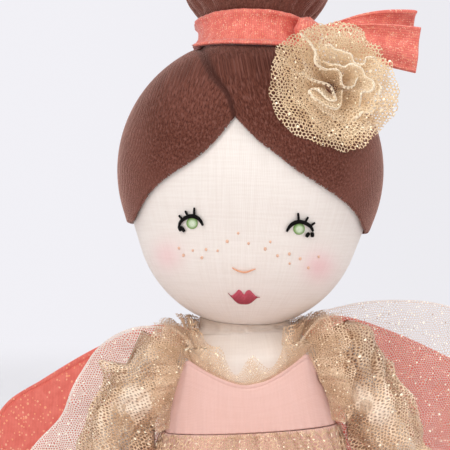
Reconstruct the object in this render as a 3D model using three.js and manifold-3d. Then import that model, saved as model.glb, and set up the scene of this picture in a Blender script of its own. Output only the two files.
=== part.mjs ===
// A sitting rag doll with a topknot, a tulle flower, a gathered dress and a pair of cloth wings.
// Millimetres. The doll faces -Y, its left side is +X, +Z is up, and the origin is the middle of the
// face that it sits on. Stuffed parts are solid: each is its cloth cover and its filling together.
import * as THREE from "three";
import { ConvexGeometry } from "three/addons/geometries/ConvexGeometry.js";
import { mergeVertices } from "three/addons/utils/BufferGeometryUtils.js";
import Module from "manifold-3d";

const wasm = await Module();
wasm.setup();

const degrees = THREE.MathUtils.degToRad;
const vec = (x, y, z) => new THREE.Vector3(x, y, z);

// Clearances and cloth
const GAP = 0.3; // between pieces that touch on the real doll
const DRESS_CLOTH = 1.2; // linen of the dress, with its seam allowance
const NET_CLOTH = 1.0; // tulle, with the loft of its folds
const HAIR_CLOTH = 1.6; // velour pile and backing
const STITCH = 0.6; // height of an embroidered stitch above the face

// Torso, seen from the seat up
const TORSO_ROLL = degrees(-3); // the upper body leans a little to the doll's right
const TORSO_SHIFT = 2.1; // brings the waist back over the seat
const SHOULDER_HEIGHT = 64;
const WAIST_HEIGHT = 38;
const HIP_HEIGHT = 15;
const SHOULDER_HALF_WIDTH = 20.5;
const CHEST_HALF_WIDTH = 22.5;
const WAIST_HALF_WIDTH = 25.2;
const HIP_HALF_WIDTH = 26.3;
const SEAT_HALF_WIDTH = 24;
const CHEST_HALF_DEPTH = 17;
const HIP_HALF_DEPTH = 20;
const SEAT_HALF_DEPTH = 16.5;
const TORSO_SQUARENESS = 2.3; // 2 is an ellipse, more is squarer
const NECK_RADIUS = 14.2;
const NECK_BASE = SHOULDER_HEIGHT + 3.5;
const NECK_TOP = SHOULDER_HEIGHT + 20;

// Head: a small ball for the face under a larger one for the crown
const HEAD_PIVOT_HEIGHT = SHOULDER_HEIGHT + 10; // where the neck bends
const HEAD_PIVOT_BACK = 2;
const HEAD_TURN = degrees(-2);
const HEAD_ROLL = degrees(2.5);
const FACE_BALL_RADIUS = 34.8;
const FACE_BALL_HEIGHT = 29.7; // above the pivot
const CROWN_BALL_RADIUS = FACE_BALL_RADIUS + 4.6;
const CROWN_BALL_HEIGHT = FACE_BALL_HEIGHT + 14;
const HEAD_DEPTH = 0.86; // depth over width
const HEAD_SQUARENESS = 2.2;

// Hair, as seen from the front, measured from the pivot
const PARTING_X = -6.5;
const PARTING_HEIGHT = CROWN_BALL_HEIGHT + 15.8;
const PARTING_TOP_X = -16;
const HAIR_TIP_HEIGHT = FACE_BALL_HEIGHT - 4.2;
const NAPE_HEIGHT = FACE_BALL_HEIGHT - 15.7;

// Topknot and its ribbon
const BUN_TILT = degrees(-12); // leans back
const BUN_X = -1;
const BUN_BACK = 6;
const BUN_BASE = CROWN_BALL_HEIGHT + CROWN_BALL_RADIUS - 3.6; // above the pivot
const BUN_HEIGHT = 48;
const BUN_RADIUS = 24;
const BUN_TIED_RADIUS = 15.8;
const RIBBON_WIDTH = 11.5;
const RIBBON_CLOTH = 1.3;
const RIBBON_TAIL_LENGTH = 31;
const RIBBON_TAIL_WIDTH = 14.5;
const KNOT_TURN = degrees(52); // from the front of the topknot to its left

// Tulle flower
const FLOWER_X = 24.8; // where its stitched middle sits on the hair
const FLOWER_HEIGHT = CROWN_BALL_HEIGHT + 25.3;
const FLOWER_RADIUS = 20.5;
const FLOWER_HEART = 2.5; // radius of the stitched middle
const FLOWER_TURN = degrees(21);
const FLOWER_TIP = degrees(-19);

// Arms and sleeves
const ARM_ROOT_RADIUS = 7.3;
const ARM_PIVOT_X = SHOULDER_HALF_WIDTH + 9;
const ARM_PIVOT_HEIGHT = SHOULDER_HEIGHT - 7;
const ARM_REACH = 23.5; // how far the hand stands out from the shoulder
const ARM_DROP = 44; // how far the hand hangs below it
const WRIST_RADIUS = 5.4;
const HAND_RADIUS = 7;
const SLEEVE_LENGTH = 38;
const SLEEVE_RADIUS = 11.8;
const CUFF_RADIUS = 8.2;

// Legs and slippers
const HIP_X = 14;
const HIP_FRONT = 19;
const THIGH_RADIUS = 11.5;
const KNEE_RADIUS = 9.6;
const ANKLE_RADIUS = 7.6;
const LEG_LENGTH = 92;
const LEG_SPREAD = degrees(6);
const GROUND_CUT = 0.5; // the stuffed leg is pressed flat where it lies
const LEG_SWINGS = [158, 180, 270].map(degrees); // raised, lying and hanging
const FOOT_LENGTH = 27;
const FOOT_WIDTH = 17;
const FOOT_THICKNESS = 16;

// Skirt, spread over the lap and the surface
const SKIRT_FRONT = 74; // reach of the hem from the doll's axis
const SKIRT_SIDE = 38.5;
const SKIRT_BACK = 46;
const SKIRT_FLARE = 2.7; // how steeply the sides fall from the waist, under the arms
const SKIRT_FOLDS = 14;
const SKIRT_FOLD_DEPTH = 3;

// Neckline
const NECKLINE_FRONT = SHOULDER_HEIGHT - 11;
const NECKLINE_SIDE = SHOULDER_HEIGHT + 0.5;
const NECKLINE_BACK = SHOULDER_HEIGHT - 3;
const RUFFLE_WIDTH = 8.5;
const RUFFLE_WAVES = 10;

// Wings
const WING_PIVOT_X = 5;
const WING_PIVOT_BACK = CHEST_HALF_DEPTH + 6;
const WING_ROOT_HEIGHT = SHOULDER_HEIGHT - 9;
const GATHER_MIDDLE = WING_ROOT_HEIGHT - 5.5;
const WING_SWEEP = degrees(18);
const WING_PADDING = 4.4;
const WING_EDGE = 1.4;
const GATHER_WIDTH = 7.5;
const GATHER_HEIGHT = 21;

// Colours, as the cloth looks in plain light
const LINEN = 0xeee4da;
const VELOUR = 0x6b3f38;
const CORAL = 0xee6f62;
const ROSE = 0xeebfb2;
const NET = 0xcdb18c;
const PALE_NET = 0xe8dcd8;

function material(color, roughness = 0.9) {
  return new THREE.MeshStandardMaterial({ color, roughness, metalness: 0, side: THREE.DoubleSide });
}

function piece(name, geometry, colour, roughness) {
  geometry.computeVertexNormals();
  const mesh = new THREE.Mesh(geometry, material(colour, roughness));
  mesh.name = name;
  return mesh;
}

function group(parent, x, y, z) {
  const made = new THREE.Group();
  made.position.set(x, y, z);
  parent.add(made);
  return made;
}

function signedVolume(positions, index) {
  const [a, b, c] = [vec(), vec(), vec()];
  let sum = 0;
  for (let i = 0; i < index.length; i += 3) {
    a.fromArray(positions, 3 * index[i]);
    b.fromArray(positions, 3 * index[i + 1]);
    c.fromArray(positions, 3 * index[i + 2]);
    sum += a.dot(b.cross(c));
  }
  return sum;
}

// A closed solid through a row of rings with as many points each. An open row is closed at both
// ends by a fan, and a closed row joins its last ring to its first. The rings of a closed row go out
// along one face of a strip of cloth and come back along the other, and both faces are cut alike.
function loft(rings, closed = false) {
  const count = rings[0].length;
  const positions = rings.flat().flatMap((p) => [p.x, p.y, p.z]);
  const index = [];
  const spans = closed ? rings.length : rings.length - 1;
  for (let i = 0; i < spans; i++) {
    const here = i * count;
    const next = ((i + 1) % rings.length) * count;
    for (let j = 0; j < count; j++) {
      const k = (j + 1) % count;
      if (closed && j >= count / 2) {
        index.push(here + j, here + k, next + j, here + k, next + k, next + j);
      } else {
        index.push(here + j, here + k, next + k, here + j, next + k, next + j);
      }
    }
  }
  if (!closed) {
    for (const [ring, first] of [[rings[0], true], [rings[rings.length - 1], false]]) {
      const centre = ring.reduce((sum, p) => sum.add(p), vec(0, 0, 0)).divideScalar(count);
      const tip = positions.length / 3;
      const start = first ? 0 : (rings.length - 1) * count;
      positions.push(centre.x, centre.y, centre.z);
      for (let j = 0; j < count; j++) {
        const k = (j + 1) % count;
        index.push(tip, start + (first ? k : j), start + (first ? j : k));
      }
    }
  }
  if (signedVolume(positions, index) < 0) {
    index.reverse();
  }
  const geometry = new THREE.BufferGeometry();
  geometry.setAttribute("position", new THREE.Float32BufferAttribute(positions, 3));
  geometry.setIndex(index);
  return geometry;
}

function toSolid(geometry, matrix) {
  const bare = geometry.clone();
  bare.deleteAttribute("normal");
  bare.deleteAttribute("uv");
  if (matrix) {
    bare.applyMatrix4(matrix);
  }
  const merged = mergeVertices(bare, 1e-4);
  return new wasm.Manifold(
    new wasm.Mesh({
      numProp: 3,
      vertProperties: merged.attributes.position.array,
      triVerts: new Uint32Array(merged.index.array),
    }),
  );
}

function fromSolid(solid) {
  const mesh = solid.getMesh();
  const geometry = new THREE.BufferGeometry();
  const positions = new Float32Array(mesh.vertProperties);
  geometry.setAttribute("position", new THREE.BufferAttribute(positions, 3));
  geometry.setIndex(new THREE.BufferAttribute(new Uint32Array(mesh.triVerts), 1));
  return geometry;
}

// A ring whose outline is a superellipse, level with the ground
function levelRing(halfWidth, halfDepth, z, squareness, sides) {
  return Array.from({ length: sides }, (_, i) => {
    const a = (i / sides) * 2 * Math.PI;
    const bend = (v) => Math.sign(v) * Math.abs(v) ** (2 / squareness);
    return vec(halfWidth * bend(Math.cos(a)), halfDepth * bend(Math.sin(a)), z);
  });
}

// Reads a smooth curve through [position, value] pairs at a position
function through(pairs, at) {
  const last = pairs.length - 1;
  if (at <= pairs[0][0]) {
    return pairs[0][1];
  }
  if (at >= pairs[last][0]) {
    return pairs[last][1];
  }
  const i = pairs.findIndex((pair) => pair[0] > at) - 1;
  const t = (at - pairs[i][0]) / (pairs[i + 1][0] - pairs[i][0]);
  return THREE.MathUtils.lerp(pairs[i][1], pairs[i + 1][1], t * t * (3 - 2 * t));
}

function smoothOutline(points, samples) {
  const curve = new THREE.CatmullRomCurve3(points.map(([x, z]) => vec(x, 0, z)), true);
  return curve.getSpacedPoints(samples).slice(0, samples);
}

function extruded(points, front, back) {
  const shape = new THREE.Shape(points.map((p) => new THREE.Vector2(p.x, p.z)));
  const geometry = new THREE.ExtrudeGeometry(shape, { depth: back - front, bevelEnabled: false });
  geometry.rotateX(Math.PI / 2); // the drawing's up becomes the doll's up
  geometry.translate(0, back, 0);
  return geometry;
}

// Torso

const torsoRows = [
  [-4, SEAT_HALF_WIDTH * 0.8, SEAT_HALF_DEPTH * 0.8],
  [0, SEAT_HALF_WIDTH, SEAT_HALF_DEPTH],
  [5, (SEAT_HALF_WIDTH + HIP_HALF_WIDTH * 2) / 3, (SEAT_HALF_DEPTH + HIP_HALF_DEPTH * 2) / 3],
  [HIP_HEIGHT, HIP_HALF_WIDTH, HIP_HALF_DEPTH],
  [WAIST_HEIGHT - 3, WAIST_HALF_WIDTH, CHEST_HALF_DEPTH + 1],
  [SHOULDER_HEIGHT - 13, CHEST_HALF_WIDTH, CHEST_HALF_DEPTH - 0.5],
  [SHOULDER_HEIGHT - 2, SHOULDER_HALF_WIDTH, CHEST_HALF_DEPTH - 2],
  [SHOULDER_HEIGHT + 2, NECK_RADIUS + 3, NECK_RADIUS - 0.5],
  [NECK_BASE, NECK_RADIUS + 0.8, NECK_RADIUS - 1.2],
];
const widthAt = (z) => through(torsoRows.map(([h, w]) => [h, w]), z);
const depthAt = (z) => through(torsoRows.map(([h, , d]) => [h, d]), z);

function torsoForm(cover) {
  const lower = [-4, 0, 4, HIP_HEIGHT, HIP_HEIGHT + 11, WAIST_HEIGHT, WAIST_HEIGHT + 8];
  const heights = [...lower, ...[-12, -7, -3, 0].map((down) => SHOULDER_HEIGHT + down), NECK_BASE];
  const ring = (z) => {
    const shift = -TORSO_SHIFT * (1 - THREE.MathUtils.smoothstep(z, 0, WAIST_HEIGHT - 4));
    const outline = levelRing(widthAt(z) + cover, depthAt(z) + cover, z, TORSO_SQUARENESS, 24);
    return outline.map((p) => p.setX(p.x + shift));
  };
  return loft(heights.map(ring));
}

const intoBody = new THREE.Matrix4()
  .makeTranslation(TORSO_SHIFT, 0, 0)
  .multiply(new THREE.Matrix4().makeRotationY(TORSO_ROLL))
  .invert();

function ballAt(x, y, z, radius, matrix) {
  const ball = new THREE.SphereGeometry(radius, 16, 12);
  ball.translate(x, y, z);
  return toSolid(ball, matrix);
}

// Everything that the thigh passes through: the hull of its round end and of three places along it
function legRoom(side) {
  const points = [0, ...LEG_SWINGS].flatMap((swing, i) => {
    const ball = new THREE.SphereGeometry(THIGH_RADIUS + 3 * GAP, 14, 10);
    ball.translate(0, i ? 32 : 0, 0);
    ball.rotateX(swing);
    const corners = ball.attributes.position;
    return Array.from({ length: corners.count }, (_, k) => vec().fromBufferAttribute(corners, k));
  });
  const room = new ConvexGeometry(points);
  room.rotateZ(side * LEG_SPREAD);
  room.translate(side * HIP_X, -HIP_FRONT, THIGH_RADIUS - GROUND_CUT);
  return toSolid(room, intoBody);
}

function makeTorso() {
  let solid = toSolid(torsoForm(0));
  for (const side of [-1, 1]) {
    const shoulder = ballAt(side * ARM_PIVOT_X, 0, ARM_PIVOT_HEIGHT, ARM_ROOT_RADIUS + 2 * GAP);
    solid = solid.subtract(shoulder);
    solid = solid.subtract(legRoom(side));
  }
  const ground = new THREE.BoxGeometry(200, 200, 20);
  ground.translate(0, 0, -10);
  solid = solid.subtract(toSolid(ground, intoBody));
  return piece("torso", fromSolid(solid), LINEN);
}

// The head's outline: the surface whose normal stands at an angle above the horizon
const headTangent = Math.asin(
  (CROWN_BALL_RADIUS - FACE_BALL_RADIUS) / (CROWN_BALL_HEIGHT - FACE_BALL_HEIGHT),
);

function headForm(cover, sides = 28, rows = 15) {
  const rings = [];
  for (let i = 1; i < rows; i++) {
    const t = -Math.PI / 2 + (i / rows) * Math.PI;
    const low = t < -headTangent;
    const radius = low ? FACE_BALL_RADIUS : CROWN_BALL_RADIUS;
    const height = low ? FACE_BALL_HEIGHT : CROWN_BALL_HEIGHT;
    const width = (radius + cover) * Math.cos(t);
    const depth = (radius * HEAD_DEPTH + cover) * Math.cos(t);
    rings.push(levelRing(width, depth, height + (radius + cover) * Math.sin(t), HEAD_SQUARENESS, sides));
  }
  const solid = loft(rings);
  const count = solid.attributes.position.count;
  solid.attributes.position.setZ(count - 2, FACE_BALL_HEIGHT - FACE_BALL_RADIUS - cover);
  solid.attributes.position.setZ(count - 1, CROWN_BALL_HEIGHT + CROWN_BALL_RADIUS + cover);
  return solid;
}

const headPlace = new THREE.Matrix4()
  .makeTranslation(0, HEAD_PIVOT_BACK, HEAD_PIVOT_HEIGHT)
  .multiply(
    new THREE.Matrix4().makeRotationFromEuler(new THREE.Euler(0, HEAD_ROLL - TORSO_ROLL, HEAD_TURN)),
  );

function makeNeck() {
  const rings = [
    [NECK_BASE + GAP, 0.8, -1.2],
    [NECK_BASE + 3, 0, -1.5],
    [NECK_TOP, -0.3, -1.6],
  ].map(([z, wide, deep]) => levelRing(NECK_RADIUS + wide, NECK_RADIUS + deep, z, 2, 24));
  const solid = toSolid(loft(rings)).subtract(toSolid(headForm(GAP), headPlace));
  return piece("neck", fromSolid(solid), LINEN);
}

// Dress

function makeBodice() {
  let solid = toSolid(torsoForm(GAP + DRESS_CLOTH)).subtract(toSolid(torsoForm(GAP)));
  const below = new THREE.BoxGeometry(200, 200, 100);
  below.translate(0, 0, WAIST_HEIGHT - 50);
  solid = solid.subtract(toSolid(below));
  // The neckline is a scoop: a tall lens cut out of the top, lower at the front
  const scoop = loft(
    [0, 1].map((k) =>
      Array.from({ length: 32 }, (_, i) => {
        const a = (i / 32) * 2 * Math.PI;
        const rise = k ? 60 : 0;
        const low = necklineHeight(a);
        const spread = NECK_RADIUS + 40;
        return vec(spread * Math.sin(a), -spread * Math.cos(a), low + rise);
      }),
    ),
  );
  solid = solid.subtract(toSolid(scoop));
  for (const side of [-1, 1]) {
    const hole = ballAt(side * ARM_PIVOT_X, 0, ARM_PIVOT_HEIGHT, ARM_ROOT_RADIUS + 6 * GAP);
    solid = solid.subtract(hole);
  }
  return piece("dress_bodice", fromSolid(solid), ROSE);
}

// Height of the neckline round the neck: angle 0 is the front
function necklineHeight(angle) {
  const front = Math.max(0, Math.cos(angle)) ** 2;
  const back = Math.max(0, -Math.cos(angle)) ** 2;
  return (
    NECKLINE_SIDE + (NECKLINE_FRONT - NECKLINE_SIDE) * front + (NECKLINE_BACK - NECKLINE_SIDE) * back
  );
}

function ellipseRadius(angle, halfWidth, halfDepth, squareness) {
  const x = Math.abs(Math.sin(angle)) / halfWidth;
  const y = Math.abs(Math.cos(angle)) / halfDepth;
  return (x ** squareness + y ** squareness) ** (-1 / squareness);
}

// A strip that stands on the neckline and waves in and out
function makeNeckRuffle() {
  const sections = [];
  const steps = RUFFLE_WAVES * 5;
  for (let i = 0; i < steps; i++) {
    const a = (i / steps) * 2 * Math.PI;
    const low = necklineHeight(a) + 0.6;
    const loop = [];
    for (const [share, out] of [[0, 0], [0.5, 0], [1, 0], [1, 1], [0.5, 1], [0, 1]]) {
      const z = low + share * RUFFLE_WIDTH * 0.9;
      const skin = ellipseRadius(a, widthAt(z), depthAt(z), TORSO_SQUARENESS);
      const wave = (1 + Math.sin(a * RUFFLE_WAVES + 0.8)) * 1.5 * share;
      const r = Math.max(skin, NECK_RADIUS + 0.8) + 4 * GAP + DRESS_CLOTH * (1 - share) + wave;
      loop.push(vec((r + out * NET_CLOTH) * Math.sin(a), -(r + out * NET_CLOTH) * Math.cos(a), z));
    }
    sections.push(loop);
  }
  let solid = toSolid(loft(sections, true));
  solid = solid.subtract(toSolid(headForm(2 * GAP), headPlace));
  const kept = solid.decompose().sort((p, q) => q.volume() - p.volume())[0];
  return piece("neck_ruffle", fromSolid(kept), NET);
}

// Height of the cloth over a leg: a bell over each leg that clears its round top
function legRise(x, y) {
  let rise = 0;
  for (const side of [-1, 1]) {
    const dx = x - side * HIP_X;
    const dy = y + HIP_FRONT;
    const along = dx * side * Math.sin(LEG_SPREAD) - dy * Math.cos(LEG_SPREAD);
    const across = Math.abs(dx * Math.cos(LEG_SPREAD) + dy * side * Math.sin(LEG_SPREAD));
    const radius = legRadius(Math.max(0, along));
    const bell = Math.exp(-((Math.max(0, across - 4) / 11) ** 2));
    const begun = THREE.MathUtils.smoothstep(along, -THIGH_RADIUS - 4, -2);
    rise = Math.max(rise, 2 * radius * bell * begun);
  }
  return rise;
}

function skirtPath(angle, u) {
  const front = Math.max(0, Math.cos(angle)) ** 1.5;
  const back = Math.max(0, -Math.cos(angle)) ** 1.5;
  const hem = SKIRT_SIDE + (SKIRT_FRONT - SKIRT_SIDE) * front + (SKIRT_BACK - SKIRT_SIDE) * back;
  const waist = ellipseRadius(angle, widthAt(WAIST_HEIGHT), depthAt(WAIST_HEIGHT), TORSO_SQUARENESS);
  const r = waist + (hem - waist) * u;
  const x = r * Math.sin(angle);
  const y = -r * Math.cos(angle);
  const top = WAIST_HEIGHT - 0.4 - x * Math.tan(TORSO_ROLL);
  const flare = SKIRT_FLARE - (SKIRT_FLARE - 1.15) * Math.max(front, back);
  const fall = top * (1 - u) ** flare;
  const rest = Math.max(0.7, legRise(x, y) + 0.9);
  const soft = 2.5;
  const z = soft * Math.log(Math.exp(fall / soft) + Math.exp(rest / soft));
  const slope = (top * flare * (1 - u) ** (flare - 1)) / (hem - waist);
  return { r, z: u === 0 ? top : Math.max(rest, z - soft * 0.69 * (1 - u)), slope };
}

// A place on the skirt, lifted off it squarely to its fall from waist to hem
function skirtPoint(angle, u, lift) {
  const { r, z, slope } = skirtPath(angle, u);
  const steep = Math.hypot(1, slope);
  const out = r + (lift * slope) / steep;
  return vec(out * Math.sin(angle), -out * Math.cos(angle), z + (u ? lift / steep : 0));
}

function makeSkirtLayer(name, base, cloth, foldDepth, colour) {
  const steps = SKIRT_FOLDS * 4;
  const stops = [0, 0.14, 0.36, 0.66, 1];
  const sections = [];
  for (let i = 0; i < steps; i++) {
    const a = (i / steps) * 2 * Math.PI;
    const open = 0.25 + 0.75 * Math.cos(a) ** 2;
    const wave = (u) => foldDepth * open * u ** 0.7 * 0.5 * (1 + Math.cos(a * SKIRT_FOLDS));
    const under = stops.map((u) => skirtPoint(a, u, base + wave(u)));
    const over = stops.map((u) => skirtPoint(a, u, base + cloth + wave(u)));
    sections.push([...over, ...under.reverse()]);
  }
  return piece(name, loft(sections, true), colour);
}

// Arms

function armCurve(side) {
  return new THREE.QuadraticBezierCurve3(
    vec(0, 0, 0),
    vec(side * ARM_REACH * 0.5, 0, -ARM_DROP * 0.5),
    vec(side * ARM_REACH, 0, -ARM_DROP),
  );
}

// Rings along a curve that lies in the XZ plane, round a centre line that runs straight on past its ends
function ringsAlong(curve, rows, sides) {
  const length = curve.getLength();
  return rows.map(([s, wide, deep]) => {
    const u = THREE.MathUtils.clamp(s / length, 0, 1);
    const tangent = curve.getTangentAt(u);
    const centre = curve.getPointAt(u).addScaledVector(tangent, s < 0 ? s : Math.max(0, s - length));
    const across = vec(0, 1, 0).cross(tangent).normalize();
    return Array.from({ length: sides }, (_, i) => {
      const a = (i / sides) * 2 * Math.PI;
      return centre
        .clone()
        .addScaledVector(across, wide * Math.cos(a))
        .addScaledVector(vec(0, 1, 0), deep * Math.sin(a));
    });
  });
}

const armLength = armCurve(1).getLength();

function armRows() {
  const rows = [-0.96, -0.75, -0.4].map((k) => {
    const r = ARM_ROOT_RADIUS * Math.sqrt(1 - k * k);
    return [k * ARM_ROOT_RADIUS, r, r];
  });
  const body = [
    [0, ARM_ROOT_RADIUS, ARM_ROOT_RADIUS],
    [armLength * 0.25, ARM_ROOT_RADIUS * 0.9, ARM_ROOT_RADIUS * 0.93],
    [armLength * 0.62, WRIST_RADIUS + 0.7, WRIST_RADIUS + 0.6],
    [armLength * 0.76, WRIST_RADIUS, WRIST_RADIUS - 0.4],
    [armLength * 0.9, HAND_RADIUS, HAND_RADIUS * 0.74],
    [armLength, HAND_RADIUS * 0.96, HAND_RADIUS * 0.7],
    [armLength + HAND_RADIUS * 0.45, HAND_RADIUS * 0.66, HAND_RADIUS * 0.48],
    [armLength + HAND_RADIUS * 0.6, HAND_RADIUS * 0.25, HAND_RADIUS * 0.2],
  ];
  return rows.concat(body);
}

function makeArm(side, sideName) {
  return piece(`${sideName}_arm`, loft(ringsAlong(armCurve(side), armRows(), 16)), LINEN);
}

const SLEEVE_START = -10;
const SLEEVE_NEAREST = WAIST_HALF_WIDTH + 4.4; // the gathered waist holds the sleeve off the doll's middle

function makeSleeve(side, sideName) {
  const curve = armCurve(side);
  const rows = [
    [SLEEVE_START, SLEEVE_RADIUS * 0.62],
    [SLEEVE_START + 4, SLEEVE_RADIUS],
    [3, SLEEVE_RADIUS * 1.03],
    [13, SLEEVE_RADIUS * 0.99],
    [18.5, SLEEVE_RADIUS * 0.98],
    [25, SLEEVE_RADIUS * 0.97],
    [SLEEVE_LENGTH * 0.82, SLEEVE_RADIUS * 0.92],
    [SLEEVE_LENGTH * 0.94, CUFF_RADIUS],
    [SLEEVE_LENGTH, CUFF_RADIUS * 1.12],
  ];
  const steps = 24;
  const folds = 6;
  const outer = ringsAlong(curve, rows.map(([s, r]) => [s, r, r * 0.96]), steps);
  const inner = ringsAlong(curve, rows.map(([s, r]) => [s, r - NET_CLOTH, r * 0.96 - NET_CLOTH]), steps);
  const length = curve.getLength();
  const sections = [];
  for (let i = 0; i < steps; i++) {
    const a = (i / steps) * 2 * Math.PI;
    const pleat = (j) => 0.9 * Math.sin(Math.PI * (j / (rows.length - 1))) * Math.cos(a * folds);
    const pushed = (ring, j, nearest) => {
      const u = THREE.MathUtils.clamp(rows[j][0] / length, 0, 1);
      const centre = curve.getPointAt(u).addScaledVector(curve.getTangentAt(u), Math.min(0, rows[j][0]));
      const out = ring[i].clone().sub(centre).normalize();
      const p = ring[i].clone().addScaledVector(out, pleat(j));
      const above = ARM_PIVOT_HEIGHT + p.z - WAIST_HEIGHT;
      const limit = nearest - ARM_PIVOT_X - 0.5 * Math.max(0, above - 2);
      return above < 9 ? p.setX(side * Math.max(side * p.x, limit)) : p;
    };
    const outside = outer.map((ring, j) => pushed(ring, j, SLEEVE_NEAREST));
    const inside = inner.map((ring, j) => pushed(ring, j, SLEEVE_NEAREST + NET_CLOTH));
    sections.push([...outside, ...inside.reverse()]);
  }
  const shoulder = new THREE.Matrix4().makeTranslation(-side * ARM_PIVOT_X, 0, -ARM_PIVOT_HEIGHT);
  const bodyCover = toSolid(torsoForm(2 * GAP + DRESS_CLOTH), shoulder);
  let solid = toSolid(loft(sections, true)).subtract(bodyCover);
  // Only the tube outside the dress stays: loose slivers inside the armhole are dropped
  const kept = solid.decompose().sort((p, q) => q.volume() - p.volume())[0];
  return piece(`${sideName}_sleeve`, fromSolid(kept), NET);
}

// Legs

function legRadius(s) {
  return through([[0, THIGH_RADIUS], [LEG_LENGTH * 0.5, KNEE_RADIUS], [LEG_LENGTH, ANKLE_RADIUS]], s);
}

function makeLeg(sideName) {
  // Built along -Y from the hip: the underside lies level with the ground all the way
  const stops = [-0.96, -0.75, -0.4].map((k) => k * THIGH_RADIUS);
  for (let i = 0; i <= 6; i++) {
    stops.push((i / 6) * LEG_LENGTH);
  }
  const rings = stops.map((s) => {
    const flat = Math.sqrt(Math.max(0, THIGH_RADIUS ** 2 - Math.min(0, s) ** 2));
    const r = s < 0 ? flat : legRadius(s);
    const centre = s < 0 ? 0 : r - THIGH_RADIUS;
    return Array.from({ length: 16 }, (_, i) => {
      const a = (i / 16) * 2 * Math.PI;
      return vec(r * Math.cos(a), -s, centre + r * Math.sin(a));
    });
  });
  let solid = toSolid(loft(rings));
  const ground = new THREE.BoxGeometry(60, 300, 10);
  ground.translate(0, 0, -THIGH_RADIUS - 5 + GROUND_CUT);
  solid = solid.subtract(toSolid(ground));
  return piece(`${sideName}_leg`, fromSolid(solid), LINEN);
}

function makeSlipper(sideName) {
  // A stuffed foot that points up from the heel; its sole faces -Y
  const rows = [
    [0, 0.45, 0.5],
    [0.05, 0.72, 0.76],
    [0.16, 0.92, 0.98],
    [0.34, 1, 1],
    [0.55, 0.98, 0.86],
    [0.75, 0.88, 0.66],
    [0.9, 0.64, 0.46],
    [0.98, 0.3, 0.24],
  ];
  const rings = rows.map(([h, wide, thick]) => {
    const z = h * FOOT_LENGTH;
    const half = (FOOT_THICKNESS / 2) * thick;
    const ring = levelRing((FOOT_WIDTH / 2) * wide, half, z, 2.3, 16);
    return ring.map((p) => p.setY(p.y - LEG_LENGTH - GAP - FOOT_THICKNESS + half + 3));
  });
  const low = new THREE.Matrix4().makeTranslation(0, 0, -THIGH_RADIUS + GROUND_CUT);
  const cutter = new THREE.CylinderGeometry(ANKLE_RADIUS + GAP, ANKLE_RADIUS + GAP, 20, 16);
  cutter.translate(0, -LEG_LENGTH + 10 - GAP, ANKLE_RADIUS - THIGH_RADIUS);
  let solid = toSolid(loft(rings), low).subtract(toSolid(cutter));
  return piece(`${sideName}_slipper`, fromSolid(solid), CORAL, 0.7);
}

// Hair

const HAIR_REACH = 60;

function hairPiece(name, regions, front, back) {
  let shell = toSolid(headForm(GAP + HAIR_CLOTH)).subtract(toSolid(headForm(GAP)));
  const area = regions.map((points) => toSolid(extruded(points, front, back)));
  shell = shell.intersect(area.reduce((sum, next) => sum.add(next)));
  const kept = shell.decompose().sort((p, q) => q.volume() - p.volume())[0];
  return piece(name, fromSolid(kept), VELOUR, 1);
}

// The curved front edge of the hair from the parting to the point by the ear
function hairline(side) {
  const reach = FACE_BALL_RADIUS + 2;
  const tip = vec(side * reach, 0, HAIR_TIP_HEIGHT);
  const apex = vec(PARTING_X, 0, PARTING_HEIGHT);
  const span = Math.abs(tip.x - apex.x);
  const drop = apex.z - tip.z;
  const curve = new THREE.CatmullRomCurve3([
    apex,
    vec(apex.x + side * span * 0.19, 0, apex.z - drop * 0.19),
    vec(apex.x + side * span * 0.5, 0, apex.z - drop * 0.41),
    vec(apex.x + side * span * 0.8, 0, apex.z - drop * 0.66),
    vec(apex.x + side * span * 0.97, 0, apex.z - drop * 0.86),
    tip,
  ]);
  return curve.getPoints(14);
}

// The seam from the parting's point back to the topknot
function partingSeam(shift) {
  const top = CROWN_BALL_HEIGHT + CROWN_BALL_RADIUS + 8;
  const curve = new THREE.QuadraticBezierCurve3(
    vec(PARTING_X + shift, 0, PARTING_HEIGHT),
    vec(PARTING_X + shift - 1.5, 0, PARTING_HEIGHT + 10),
    vec(PARTING_TOP_X + shift, 0, top),
  );
  return curve.getPoints(6);
}

function makeFrontHair(side, sideName) {
  const seam = partingSeam((side * GAP) / 2).reverse();
  const edge = hairline(side);
  edge[0].x += (side * GAP) / 2;
  const outside = [
    vec(side * HAIR_REACH, 0, HAIR_TIP_HEIGHT),
    vec(side * HAIR_REACH, 0, seam[0].z),
  ];
  const points = [...seam.slice(0, -1), ...edge, ...outside];
  return hairPiece(`${sideName}_front_hair`, [points], -HAIR_REACH, -GAP / 2);
}

function makeBackHair() {
  const top = CROWN_BALL_HEIGHT + CROWN_BALL_RADIUS + 8;
  const points = [
    vec(-HAIR_REACH, 0, HAIR_TIP_HEIGHT),
    vec(-HAIR_REACH, 0, top),
    vec(HAIR_REACH, 0, top),
    vec(HAIR_REACH, 0, HAIR_TIP_HEIGHT),
    vec(FACE_BALL_RADIUS * 0.8, 0, NAPE_HEIGHT + 3),
    vec(0, 0, NAPE_HEIGHT),
    vec(-FACE_BALL_RADIUS * 0.8, 0, NAPE_HEIGHT + 3),
  ];
  return hairPiece("back_hair", [points], GAP / 2, HAIR_REACH);
}

// Topknot, in its own frame: the base is at z 0 and the axis is z

function bunRadius(h) {
  const rows = [
    [0, BUN_TIED_RADIUS + 1.5],
    [3, BUN_TIED_RADIUS],
    [RIBBON_WIDTH - 1, BUN_TIED_RADIUS + 0.6],
    [RIBBON_WIDTH + 5, BUN_RADIUS * 0.88],
    [BUN_HEIGHT * 0.58, BUN_RADIUS],
  ];
  return through(rows, h);
}

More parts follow.
